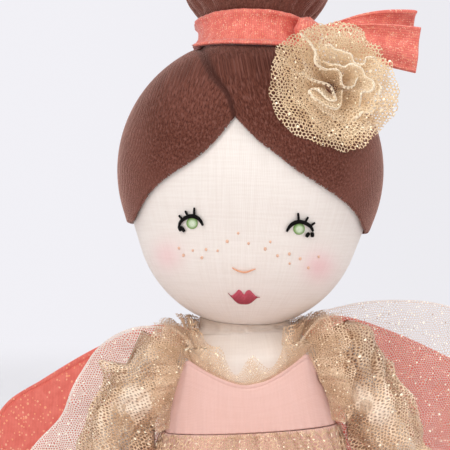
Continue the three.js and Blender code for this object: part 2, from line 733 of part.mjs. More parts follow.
function makeBun(headInBun) {
  const tied = [-4, 0, 3, RIBBON_WIDTH - 1, RIBBON_WIDTH + 2, RIBBON_WIDTH + 5, BUN_HEIGHT * 0.46];
  const rings = tied.map((h) => levelRing(bunRadius(h), bunRadius(h), h, 2, 24));
  const middle = BUN_HEIGHT * 0.58;
  for (let i = 0; i < 5; i++) {
    const t = (i / 5) * (Math.PI / 2);
    const r = BUN_RADIUS * Math.cos(t);
    rings.push(levelRing(r, r, middle + (BUN_HEIGHT - middle) * Math.sin(t), 2, 24));
  }
  rings.push(levelRing(1.5, 1.5, BUN_HEIGHT, 2, 24));
  const solid = toSolid(loft(rings)).subtract(headInBun);
  return piece("topknot", fromSolid(solid), VELOUR, 1);
}

// A gathered band, waisted in the middle, with a rolled lower edge
function ribbonBandForm(extra) {
  const profile = [
    [0.02, 2.1],
    [0.12, 2.4],
    [0.25, 1.7],
    [0.55, 1.3],
    [0.8, 1.7],
    [0.97, 2.3],
  ];
  const steps = 28;
  const sections = [];
  for (let i = 0; i < steps; i++) {
    const a = (i / steps) * 2 * Math.PI;
    const rise = 1.6 * Math.max(0, Math.cos(a)); // the band is drawn up at the front
    const at = (share, thick) => {
      const h = share * RIBBON_WIDTH + rise * share;
      const r = bunRadius(h) + thick;
      return vec(r * Math.sin(a), -r * Math.cos(a), h);
    };
    const thickness = (bulge) => 3 * GAP + RIBBON_CLOTH * bulge * 0.75 + extra;
    const outside = profile.map(([share, bulge]) => at(share, thickness(bulge)));
    const inside = [1, 0.5, 0].map((share) => at(share, 3 * GAP));
    sections.push([...outside, ...inside]);
  }
  return toSolid(loft(sections, true));
}

function makeRibbonBand(headInBun) {
  const cut = ribbonBandForm(0).subtract(headInBun);
  const kept = cut.decompose().sort((p, q) => q.volume() - p.volume())[0];
  return piece("ribbon_band", fromSolid(kept), CORAL, 0.6);
}

// A flat strip: rows hold the middle, the half width, the turn about its run, and the thickness
function strip(rows, runDirection) {
  const sections = rows.map(([middle, half, turn]) => {
    const run = runDirection.clone().normalize();
    const up = vec(0, 0, 1).addScaledVector(run, -run.z).normalize().applyAxisAngle(run, turn);
    const through3 = run.clone().cross(up).normalize();
    const corner = (u, t) =>
      middle
        .clone()
        .addScaledVector(up, u * half)
        .addScaledVector(through3, (t * RIBBON_CLOTH) / 2);
    return [corner(1, 1), corner(0, 1.15), corner(-1, 1), corner(-1, -1), corner(0, -1.15), corner(1, -1)];
  });
  return loft(sections);
}

const knotRadius = BUN_TIED_RADIUS + 5.2;

function makeRibbonTails(cutters) {
  const h = RIBBON_WIDTH * 0.5;
  const root = vec(knotRadius * Math.sin(KNOT_TURN), -knotRadius * Math.cos(KNOT_TURN), h);
  const knot = new THREE.SphereGeometry(5, 12, 8);
  knot.scale(1.15, 0.75, 1.1);
  knot.rotateZ(KNOT_TURN);
  knot.translate(root.x * 1.02, root.y * 1.02, root.z);
  let knotSolid = toSolid(knot);
  cutters.forEach((cutter) => {
    knotSolid = knotSolid.subtract(cutter);
  });
  const grown = new THREE.SphereGeometry(5 + 1.5 * GAP, 12, 8);
  grown.scale(1.15, 0.75, 1.1);
  grown.rotateZ(KNOT_TURN);
  grown.translate(root.x * 1.02, root.y * 1.02, root.z);
  const runs = [
    {
      name: "upper_ribbon_tail",
      run: vec(1, 0.25, 0.24),
      width: RIBBON_TAIL_WIDTH * 0.82,
      turn: 0.95,
      back: 3.2,
    },
    { name: "lower_ribbon_tail", run: vec(1, 0.15, -0.03), width: RIBBON_TAIL_WIDTH, turn: 0.1, back: 0 },
  ];
  const pieces = [piece("ribbon_knot", fromSolid(knotSolid), CORAL, 0.6)];
  for (const { name, run, width, turn, back } of runs) {
    const direction = run.clone().normalize();
    const rows = [0, 0.3, 0.62, 1].map((share) => {
      const middle = root
        .clone()
        .add(vec(2, back, back * 0.5))
        .addScaledVector(direction, 2 + share * RIBBON_TAIL_LENGTH);
      return [middle, (width / 2) * (0.45 + 0.55 * Math.min(1, share * 1.25)), turn * share];
    });
    let solid = toSolid(strip(rows, direction)).subtract(toSolid(grown));
    cutters.forEach((cutter) => {
      solid = solid.subtract(cutter);
    });
    const kept = solid.decompose().sort((p, q) => q.volume() - p.volume())[0];
    pieces.push(piece(name, fromSolid(kept), CORAL, 0.6));
  }
  return pieces;
}

// Tulle flower, in its own frame: its middle is sewn to the hair at the origin and it opens to -Y

// How far the crown's surface, grown by a cover, lies in front of the head's middle plane
function crownFront(x, z, cover) {
  const rise = (z - CROWN_BALL_HEIGHT) / (CROWN_BALL_RADIUS + cover);
  const level = Math.sqrt(Math.max(0, 1 - rise ** 2));
  const aside = Math.abs(x) / ((CROWN_BALL_RADIUS + cover) * level);
  const share = Math.max(0, 1 - aside ** HEAD_SQUARENESS) ** (1 / HEAD_SQUARENESS);
  return aside < 1 ? (CROWN_BALL_RADIUS * HEAD_DEPTH + cover) * level * share : -Infinity;
}

// A ring of petals that waves round its edge, and rests on the hair where the head comes forward
function makePetalRing(name, flowerPlace, { reach, rise, base, waves, depth, loft: bulk }) {
  const steps = waves * 4;
  const stops = [0, 0.4, 0.72, 1];
  const sections = [];
  for (let i = 0; i < steps; i++) {
    const a = (i / steps) * 2 * Math.PI;
    const surface = stops.map((share) => {
      const r = FLOWER_HEART + (reach - FLOWER_HEART) * share + 0.5 * share * Math.sin(a * waves + 1);
      const cover = GAP + HAIR_CLOTH + base + bulk * share ** 1.3;
      const p = vec(r * Math.cos(a), -base - rise * share ** 1.5, r * Math.sin(a));
      const onHead = (q) => q.clone().applyMatrix4(flowerPlace);
      for (let q = onHead(p); -q.y < crownFront(q.x, q.z, cover); q = onHead(p)) {
        p.y -= 0.1;
      }
      p.y -= depth * share ** 1.3 * (1 + Math.cos(a * waves));
      return p;
    });
    const top = surface.map((p) => vec(p.x, p.y - NET_CLOTH, p.z));
    sections.push([...surface, ...top.reverse()]);
  }
  return piece(name, loft(sections, true), NET);
}

function makeFlower(flowerPlace) {
  const layer = NET_CLOTH + GAP;
  const rings = {
    flower_outer_petals: { reach: FLOWER_RADIUS, rise: 2, base: GAP, waves: 9, depth: 1.4, loft: 0 },
    flower_middle_petals: {
      reach: FLOWER_RADIUS * 0.8,
      rise: 6,
      base: GAP + layer,
      waves: 8,
      depth: 1.7,
      loft: 3.6,
    },
    flower_inner_petals: {
      reach: FLOWER_RADIUS * 0.5,
      rise: 7,
      base: GAP + 2 * layer,
      waves: 6,
      depth: 1.6,
      loft: 6.5,
    },
  };
  return Object.entries(rings).map(([name, sizes]) => makePetalRing(name, flowerPlace, sizes));
}

// Face: outlines in the front view, raised as stitches on the face

function stroke(points, width) {
  const curve = new THREE.CatmullRomCurve3(points.map(([x, z]) => vec(x, 0, z)));
  const steps = Math.max(2, points.length * 2);
  const left = [];
  const right = [];
  for (let i = 0; i <= steps; i++) {
    const p = curve.getPoint(i / steps);
    const t = curve.getTangent(i / steps);
    const taper = 1 - 0.45 * Math.abs(2 * (i / steps) - 1) ** 3;
    const n = vec(-t.z, 0, t.x).multiplyScalar((width / 2) * taper);
    left.push(p.clone().add(n));
    right.push(p.clone().sub(n));
  }
  return [...left, ...right.reverse()];
}

const faceSkin = toSolid(headForm(GAP + STITCH)).subtract(toSolid(headForm(GAP)));

function onFace(outlines) {
  const prisms = outlines.map((points) => toSolid(extruded(points, -HAIR_REACH, -10)));
  return faceSkin.intersect(prisms.reduce((sum, next) => sum.add(next)));
}

const EYE_SPREAD = 16.6; // from the middle of the face
const FACE_MIDDLE = -0.2;
const EYE_HEIGHT = FACE_BALL_HEIGHT - 3.3;
const IRIS_RADIUS = 1.75;

function makeEye(side, sideName) {
  const x = FACE_MIDDLE + side * EYE_SPREAD;
  const at = (out, up) => [x + side * out, EYE_HEIGHT + up];
  const lid = [at(-3.4, -0.9), at(-2.4, 0.9), at(-0.4, 2.1), at(1.6, 1.7), at(3, 0.2), at(3.3, -1.4)];
  const lashes = [
    [at(-0.5, 2), at(-0.6, 4)],
    [at(1, 2), at(2, 3.4)],
    [at(2.3, 1.2), at(3.9, 2.3)],
    [at(3.2, -1), at(2.2, -2.6)],
    [at(3.3, -1), at(3.7, -2.6)],
  ];
  const stitches = (extra) =>
    onFace([stroke(lid, 0.8 + extra), ...lashes.map((ends) => stroke(ends, 0.6 + extra))]);
  const lash = stitches(0);
  const wide = stitches(1.4 * GAP);
  const circle = Array.from({ length: 16 }, (_, i) => {
    const a = (i / 16) * 2 * Math.PI;
    return vec(x + IRIS_RADIUS * Math.cos(a), 0, EYE_HEIGHT - 0.4 + IRIS_RADIUS * Math.sin(a));
  });
  const iris = onFace([circle]).subtract(wide);
  const kept = iris.decompose().sort((p, q) => q.volume() - p.volume())[0];
  return [
    piece(`${sideName}_eye_lashes`, fromSolid(lash), 0x1c1a1a, 0.6),
    piece(`${sideName}_eye_iris`, fromSolid(kept), 0x86a860, 0.6),
  ];
}

const MOUTH_HEIGHT = FACE_BALL_HEIGHT - 25.1;
const MOUTH_WIDTH = 9.6;
const NOSE_HEIGHT = FACE_BALL_HEIGHT - 16.7;
const NOSE_WIDTH = 7;

function makeMouth() {
  const half = MOUTH_WIDTH / 2;
  const outline = [
    [-half, 0.9],
    [-half * 0.6, 0.9],
    [-half * 0.3, 2.2],
    [0, 1.2],
    [half * 0.34, 2.2],
    [half * 0.62, 0.9],
    [half, 0.6],
    [half * 0.62, -0.9],
    [half * 0.25, -2.1],
    [-half * 0.2, -2.1],
    [-half * 0.6, -1],
  ].map(([x, z]) => vec(FACE_MIDDLE + x, 0, MOUTH_HEIGHT + z));
  return piece("mouth", fromSolid(onFace([outline])), 0xb03a4c, 0.7);
}

function makeNose() {
  const half = NOSE_WIDTH / 2;
  const line = stroke(
    [
      [FACE_MIDDLE - half, NOSE_HEIGHT + 0.7],
      [FACE_MIDDLE - half * 0.5, NOSE_HEIGHT - 0.2],
      [FACE_MIDDLE + half * 0.05, NOSE_HEIGHT - 0.6],
      [FACE_MIDDLE + half * 0.6, NOSE_HEIGHT - 0.1],
      [FACE_MIDDLE + half, NOSE_HEIGHT + 0.5],
    ],
    0.6,
  );
  return piece("nose_stitch", fromSolid(onFace([line])), 0xe89a72, 0.7);
}

// Wings, in the frame of their pivot: x runs out along the wing, y is its thickness

// A padded form inside an outline: rings shrink to a middle point on both faces
function pillow(outline, middle, shares, halfThickness, sag) {
  const face = (side) =>
    shares.map((k) =>
      outline.map((p) => {
        const x = middle.x + (p.x - middle.x) * k;
        const z = middle.z + (p.z - middle.z) * k;
        return vec(x, side * halfThickness(k) + sag(x, z), z);
      }),
    );
  return loft([...face(-1), ...face(1).reverse()]);
}

function wingOutline() {
  return smoothOutline(
    [
      [0.8, -14], [0.8, 4], [12, 12.5], [27, 14.5], [46, 8], [66, -2], [80, -10], [86, -20], [80, -29],
      [66, -33], [56, -33.5], [60, -41], [56, -49], [46, -51], [36, -45], [24, -32], [11, -21],
    ],
    38,
  );
}

function makeWing(side, sideName) {
  const outline = wingOutline();
  const middle = vec(44, 0, -12);
  const half = (k) => WING_EDGE / 2 + ((WING_PADDING - WING_EDGE) / 2) * (1 - k ** 2.4);
  const geometry = pillow(outline, middle, [0.3, 0.62, 0.86, 1], half, () => 0);
  return piece(`${sideName}_wing`, mirrored(geometry, side), CORAL, 0.6);
}

function mirrored(geometry, side) {
  if (side > 0) {
    return geometry;
  }
  const turned = geometry.clone().scale(-1, 1, 1);
  turned.setIndex(Array.from(geometry.index.array).reverse());
  return turned;
}

// The net over each wing is cut alike, but it is gathered askew: up on the left wing, down on the right
function makeWingNet(side, sideName) {
  const raised = [
    [0.8, -13], [0.8, 4], [11, 15], [28, 20.5], [46, 21.5], [64, 18.5], [80, 9], [85, -6], [78, -18],
    [62, -25], [42, -28], [22, -24], [9, -18],
  ];
  const lowered = [
    [0.8, -14], [0.8, 4], [14, 12.5], [30, 14.5], [43, 9], [51, 0], [58, -13], [68, -23], [75, -33],
    [68, -43], [52, -46], [34, -39], [20, -29], [9, -19],
  ];
  const points = side > 0 ? raised : lowered;
  const middle = side > 0 ? vec(42, 0, -3) : vec(38, 0, -16);
  const wave = (x, z) => 0.9 * Math.sin(z * 0.32 + 0.6) * THREE.MathUtils.smoothstep(x, 4, 50);
  const front = WING_PADDING / 2 + NET_CLOTH / 2 + GAP + 1;
  const geometry = pillow(
    smoothOutline(points, 34),
    middle,
    [0.3, 0.66, 1],
    () => NET_CLOTH / 2,
    (x, z) => wave(x, z) - front,
  );
  return piece(`${sideName}_wing_net`, mirrored(geometry, side), PALE_NET);
}

function makeWingGather() {
  const rows = [
    [0, 0.6, 0.7],
    [0.12, 0.95, 0.95],
    [0.5, 0.86, 0.86],
    [0.88, 0.95, 0.95],
    [1, 0.6, 0.7],
  ];
  const back = depthAt(GATHER_MIDDLE) + DRESS_CLOTH + 2 * GAP;
  const thick = 7;
  const rings = rows.map(([share, wide, deep]) => {
    const z = GATHER_MIDDLE + (share - 0.5) * GATHER_HEIGHT;
    const ring = levelRing((GATHER_WIDTH / 2) * wide, (thick / 2) * deep, z, 2.6, 16);
    return ring.map((p) => p.setY(p.y + back + thick / 2 - 1));
  });
  const solid = toSolid(loft(rings)).subtract(toSolid(torsoForm(DRESS_CLOTH + 2 * GAP)));
  return piece("wing_gather", fromSolid(solid), CORAL, 0.6);
}

// The whole doll

const doll = new THREE.Group();

const body = group(doll, TORSO_SHIFT, 0, 0);
body.rotation.y = TORSO_ROLL;
body.add(makeTorso(), makeNeck(), makeBodice(), makeNeckRuffle(), makeWingGather());

doll.add(
  makeSkirtLayer("skirt_lining", GAP + 0.2, DRESS_CLOTH, 0.8, ROSE),
  makeSkirtLayer("skirt_net", 2 * GAP + DRESS_CLOTH + 0.3, NET_CLOTH, SKIRT_FOLD_DEPTH, NET),
);

for (const [side, sideName] of [[-1, "right"], [1, "left"]]) {
  const shoulder = group(body, side * ARM_PIVOT_X, 0, ARM_PIVOT_HEIGHT);
  shoulder.add(makeArm(side, sideName), makeSleeve(side, sideName));

  const hip = group(doll, side * HIP_X, -HIP_FRONT, THIGH_RADIUS - GROUND_CUT);
  hip.rotation.z = side * LEG_SPREAD;
  hip.add(makeLeg(sideName), makeSlipper(sideName));

  const wing = group(body, side * WING_PIVOT_X, WING_PIVOT_BACK, WING_ROOT_HEIGHT);
  wing.rotation.z = side * WING_SWEEP;
  wing.add(makeWing(side, sideName), makeWingNet(side, sideName));
}

const head = group(body, 0, HEAD_PIVOT_BACK, HEAD_PIVOT_HEIGHT);
head.rotation.set(0, HEAD_ROLL - TORSO_ROLL, HEAD_TURN);
head.add(
  piece("head", headForm(0), LINEN),
  makeFrontHair(-1, "right"),
  makeFrontHair(1, "left"),
  makeBackHair(),
  ...makeEye(-1, "right"),
  ...makeEye(1, "left"),
  makeNose(),
  makeMouth(),
);

const topknot = group(head, BUN_X, BUN_BACK, BUN_BASE);
topknot.rotation.x = BUN_TILT;
topknot.updateMatrix();
const headInBun = toSolid(headForm(2 * GAP + HAIR_CLOTH), topknot.matrix.clone().invert());
topknot.add(makeBun(headInBun), makeRibbonBand(headInBun));
topknot.add(...makeRibbonTails([headInBun, ribbonBandForm(GAP)]));

const flower = group(head, FLOWER_X, -crownFront(FLOWER_X, FLOWER_HEIGHT, GAP + HAIR_CLOTH), FLOWER_HEIGHT);
flower.rotation.set(FLOWER_TIP, 0, FLOWER_TURN);
flower.updateMatrix();
flower.add(...makeFlower(flower.matrix));

export default doll;
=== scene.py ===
"""A rag doll with a topknot, a tulle flower, a gathered dress and padded cloth wings.

Shapes are worked out in millimetres, in the frames of the doll's parts, and turned into metres where a
mesh is made. The doll faces -Y and its left side is +X.
"""
import math

import bpy
import numpy as np
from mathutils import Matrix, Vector


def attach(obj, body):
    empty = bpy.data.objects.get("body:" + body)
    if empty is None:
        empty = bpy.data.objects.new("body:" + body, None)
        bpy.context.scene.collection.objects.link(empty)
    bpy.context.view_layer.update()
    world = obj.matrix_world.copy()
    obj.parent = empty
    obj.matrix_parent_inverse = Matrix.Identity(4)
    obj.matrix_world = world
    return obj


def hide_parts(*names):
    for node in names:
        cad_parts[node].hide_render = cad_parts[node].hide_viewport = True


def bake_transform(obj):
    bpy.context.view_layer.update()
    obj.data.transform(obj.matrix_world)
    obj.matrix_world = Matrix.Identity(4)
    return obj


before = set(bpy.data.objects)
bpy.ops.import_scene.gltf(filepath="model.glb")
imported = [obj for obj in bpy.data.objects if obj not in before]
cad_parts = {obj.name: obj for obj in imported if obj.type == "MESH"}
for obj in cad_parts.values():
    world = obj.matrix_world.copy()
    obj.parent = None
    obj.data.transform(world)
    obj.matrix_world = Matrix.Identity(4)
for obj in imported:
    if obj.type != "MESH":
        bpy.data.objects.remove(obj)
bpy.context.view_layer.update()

# Head, measured from the bend of the neck
FACE_RADIUS = 34.8
FACE_HEIGHT = 29.7
CROWN_RADIUS = 39.4
CROWN_HEIGHT = 43.7
HEAD_DEPTH = 0.86
HEAD_SQUARENESS = 2.2
FLANK = math.asin((CROWN_RADIUS - FACE_RADIUS) / (CROWN_HEIGHT - FACE_HEIGHT))

# Torso: height, half width and half depth
TORSO_ROWS = [
    (-4, 19.2, 13.2), (0, 24, 16.5), (5, 25.5, 18.8), (15, 26.3, 20), (35, 25.2, 18),
    (51, 22.5, 16.5), (62, 20.5, 15), (66, 17.2, 13.7), (67.5, 15, 13),
]
TORSO_SQUARENESS = 2.3
TORSO_SHIFT = 2.1
WAIST = 38.0
NECK_RADIUS = 14.2
NECK_BASE = 67.5
NECK_SEAM = 0.06
CHIN_ROOM = 2.2
SHOULDER = (29.5, 57.0)
ARM_LENGTH = math.hypot(23.5, 44)
HIP = (14.0, -19.0, 11.0)
THIGH = 11.5
LEG_LENGTH = 92.0
LEG_SPREAD = 6.0
WING_ROOT = (5.0, 23.0, 55.0)
WING_SWEEP = 18.0
BODY_TILT = -3.0
NECK_BEND = (0, 2, 74)
HEAD_TILT = 5.5
HEAD_TURN = -2.0
NODS = (-12, -5, 0, 7, 15)  # degrees, through the range of the neck

# Topknot and ribbon
TOPKNOT_AT = (-1, 6, 79.5)
TOPKNOT_LEAN = -12.0
BUN_HEIGHT = 48.0
BUN_RADIUS = 24.0
BUN_WIDEST = BUN_HEIGHT * 0.58
TIED_RADIUS = 15.8
RIBBON_WIDTH = 11.5
KNOT_TURN = 52.0
RIBBON_DIP = 2.7

# Flower
FLOWER_X = 24.8
FLOWER_HEIGHT = 69.0
FLOWER_RADIUS = 20.5
FLOWER_LEAN = -19.0
FLOWER_TURN = 21.0

# Clearances and thicknesses
GAP = 0.3
HAIR_CLOTH = 1.6
DRESS_CLOTH = 1.2


# Curves and frames

def joined(*parts):
    """Coordinates put together on one last axis, each spread over the whole grid."""
    return np.stack(np.broadcast_arrays(*parts), -1)


def ring(count):
    """Angles round a closed section, as one row."""
    return np.linspace(0, 2 * np.pi, count, endpoint=False)[None, :]


def shares(count):
    """Steps from 0 to 1, as one row."""
    return np.linspace(0, 1, count)[None, :]


def bell(distance, width):
    """1 at no distance, and falls off to nothing as the square of the distance over the width."""
    return np.exp(-((distance / width) ** 2))


def smooth(t):
    """Rises from 0 to 1 as three t squared less two t cubed, and stays level outside."""
    t = np.clip(t, 0, 1)
    return t * t * (3 - 2 * t)


def through(pairs, at):
    """Cubic pieces through (position, value) pairs, whose slopes are the mean of the chords beside them."""
    x, y = np.array(pairs, float).T
    slope = np.gradient(y, x)
    at = np.clip(at, x[0], x[-1])
    i = np.clip(np.searchsorted(x, at, side="right") - 1, 0, len(x) - 2)
    h = x[i + 1] - x[i]
    t = (at - x[i]) / h
    begun = (2 * t**3 - 3 * t**2 + 1) * y[i] + (t**3 - 2 * t**2 + t) * h * slope[i]
    return begun + (3 * t**2 - 2 * t**3) * y[i + 1] + (t**3 - t**2) * h * slope[i + 1]


def sizes_at(rows, at):
    """Half width and half depth at a place, from rows of the three."""
    rows = np.array(rows, float)
    return (through(rows[:, [0, k]], at) for k in (1, 2))


def line_through(points, count, closed=False):
    """A smooth line through points, sampled evenly by length."""
    p = np.array(points, float)
    if closed:
        p = np.vstack([p, p[:1]])
    chord = np.concatenate([[0], np.cumsum(np.linalg.norm(np.diff(p, axis=0), axis=1) ** 0.5)])
    if closed:
        p = np.vstack([p[-3:-1], p, p[1:3]])
        span = chord[-1]
        chord = np.concatenate([chord[-3:-1] - span, chord, chord[1:3] + span])
    fine = np.linspace(0, chord[-3] if closed else chord[-1], 40 * len(p))
    path = np.stack([through(np.stack([chord, p[:, k]], 1), fine) for k in range(p.shape[1])], 1)
    run = np.concatenate([[0], np.cumsum(np.linalg.norm(np.diff(path, axis=0), axis=1))])
    at = np.linspace(0, run[-1], count + 1)[:-1] if closed else np.linspace(0, run[-1], count)
    return np.stack([np.interp(at, run, path[:, k]) for k in range(p.shape[1])], 1)


def shift(x, y, z):
    moved = np.eye(4)
    moved[:3, 3] = (x, y, z)
    return moved


def turn(axis, angle):
    """A right-handed turn about one axis, in degrees."""
    a = math.radians(angle)
    i, j = {"X": (1, 2), "Y": (2, 0), "Z": (0, 1)}[axis]
    turned = np.eye(4)
    turned[i, i] = turned[j, j] = math.cos(a)
    turned[j, i] = math.sin(a)
    turned[i, j] = -math.sin(a)
    return turned


def place(points, matrix):
    return points @ matrix[:3, :3].T + matrix[:3, 3]


def polar(r, angle, z):
    """Points at a radius and an angle about the upright axis; angle 0 is the front."""
    return joined(r * np.sin(angle), -r * np.cos(angle), z)


BODY = shift(TORSO_SHIFT, 0, 0) @ turn("Y", BODY_TILT)


def head_at(nod):
    """The head's frame when the neck is bent by some degrees."""
    return BODY @ shift(*NECK_BEND) @ turn("X", nod) @ turn("Y", HEAD_TILT) @ turn("Z", HEAD_TURN)


HEAD = head_at(0)
TOPKNOT = HEAD @ shift(*TOPKNOT_AT) @ turn("X", TOPKNOT_LEAN)
SIDES = ((-1, "right"), (1, "left"))


def bend(v, squareness):
    """A sine or cosine squared off for a superellipse: its power of 2 over the squareness."""
    return np.sign(v) * np.abs(v) ** (2 / squareness)


def superellipse(angle, width, depth, squareness):
    """Distance from the middle to an outline with those half sizes; angle 0 is the front."""
    x = np.abs(np.sin(angle)) / width
    y = np.abs(np.cos(angle)) / depth
    return (x**squareness + y**squareness) ** (-1 / squareness)


# Head form: a face ball, straight flanks and a crown ball, one above the other

def head_level(z, cover):
    """Half width and half depth of the head at a height, grown by a cover."""
    face, crown = FACE_RADIUS + cover, CROWN_RADIUS + cover
    low, high = FACE_HEIGHT - face * math.sin(FLANK), CROWN_HEIGHT - crown * math.sin(FLANK)
    in_face = np.sqrt(np.clip(1 - ((z - FACE_HEIGHT) / face) ** 2, 0, 1))
    in_crown = np.sqrt(np.clip(1 - ((z - CROWN_HEIGHT) / crown) ** 2, 0, 1))
    share = np.clip((z - low) / (high - low), 0, 1)
    sizes = []
    for a, b in ((face, crown), (HEAD_DEPTH * FACE_RADIUS + cover, HEAD_DEPTH * CROWN_RADIUS + cover)):
        flank = (a + (b - a) * share) * math.cos(FLANK)
        sizes.append(np.where(z < low, a * in_face, np.where(z > high, b * in_crown, flank)))
    return sizes


def on_face(x, z, cover):
    """The point of the head's front seen at (x, z): y is minus the superellipse's depth there."""
    width, depth = head_level(z, cover)
    width = np.maximum(width, 1e-3)
    x = np.clip(x, -width, width)
    y = -depth * (1 - np.clip(np.abs(x) / width, 0, 1) ** HEAD_SQUARENESS) ** (1 / HEAD_SQUARENESS)
    return joined(x, y, z)


def raised(x, z, cover):
    """Points seen at (x, z) on the head's front, raised off it by a cover for each."""
    skin = on_face(x, z, 0)
    return skin + (on_face(x, z, 1) - skin) * cover[..., None]


CROWN_ARC = CROWN_RADIUS * (math.pi / 2 + FLANK)
FLANK_RUN = math.sqrt((CROWN_HEIGHT - FACE_HEIGHT) ** 2 - (CROWN_RADIUS - FACE_RADIUS) ** 2)
FACE_ARC = FACE_RADIUS * (math.pi / 2 - FLANK)
HEAD_ARC = CROWN_ARC + FLANK_RUN + FACE_ARC


def meridian(q, cover):
    """Half width, half depth and height at a length q down from the top of the head."""
    run = np.abs(q)
    t = np.where(run < CROWN_ARC, math.pi / 2 - run / CROWN_RADIUS, -FLANK)
    t = np.where(run > CROWN_ARC + FLANK_RUN, -FLANK - (run - CROWN_ARC - FLANK_RUN) / FACE_RADIUS, t)
    share = 1 - np.clip((run - CROWN_ARC) / FLANK_RUN, 0, 1)
    radius = FACE_RADIUS + (CROWN_RADIUS - FACE_RADIUS) * share
    middle = FACE_HEIGHT + (CROWN_HEIGHT - FACE_HEIGHT) * share
    width = (radius + cover) * np.cos(t) * np.where(q < 0, -1, 1)
    return width, (radius * HEAD_DEPTH + cover) * np.cos(t), middle + (radius + cover) * np.sin(t)


def head_gauge(points, cover):
    """Below 1 inside the head grown by a cover, and above 1 outside."""
    width, depth = head_level(points[..., 2], cover)
    x = np.abs(points[..., 0]) / np.maximum(width, 1e-3)
    y = np.abs(points[..., 1]) / np.maximum(depth, 1e-3)
    return x**HEAD_SQUARENESS + y**HEAD_SQUARENESS


# Torso form

def torso_radius(angle, z, cover):
    """How far the torso reaches from its axis at an angle and a height: a superellipse."""
    width, depth = sizes_at(TORSO_ROWS, z)
    return superellipse(angle, width + cover, depth + cover, TORSO_SQUARENESS)


def torso_shift(z):
    """How far the torso's axis is moved sideways below the waist."""
    return -TORSO_SHIFT * (1 - smooth(z / (WAIST - 4)))


def torso_point(angle, z, cover):
    return polar(torso_radius(angle, z, cover), angle, z) + joined(torso_shift(z), 0, 0)


def outside_torso(points, cover):
    """Points in the body frame, moved straight out from the torso's axis until its cover clears them."""
    x, y, z = points[..., 0] - torso_shift(points[..., 2]), points[..., 1], points[..., 2]
    angle = np.arctan2(x, -y)
    r = np.hypot(x, y)
    least = np.where(z < NECK_BASE, torso_radius(angle, z, cover), 0)
    return polar(np.maximum(r, least), angle, z) + joined(torso_shift(z), 0, 0)


# Meshes

def in_scene(name, data):
    """A new object with that data, in the scene."""
    made = bpy.data.objects.new(name, data)
    bpy.context.scene.collection.objects.link(made)
    return made


def corners(grid):
    """The four corners of each cell of a grid, in order round it."""
    return np.stack([grid[:-1, :-1], grid[1:, :-1], grid[1:, 1:], grid[:-1, 1:]], 2)


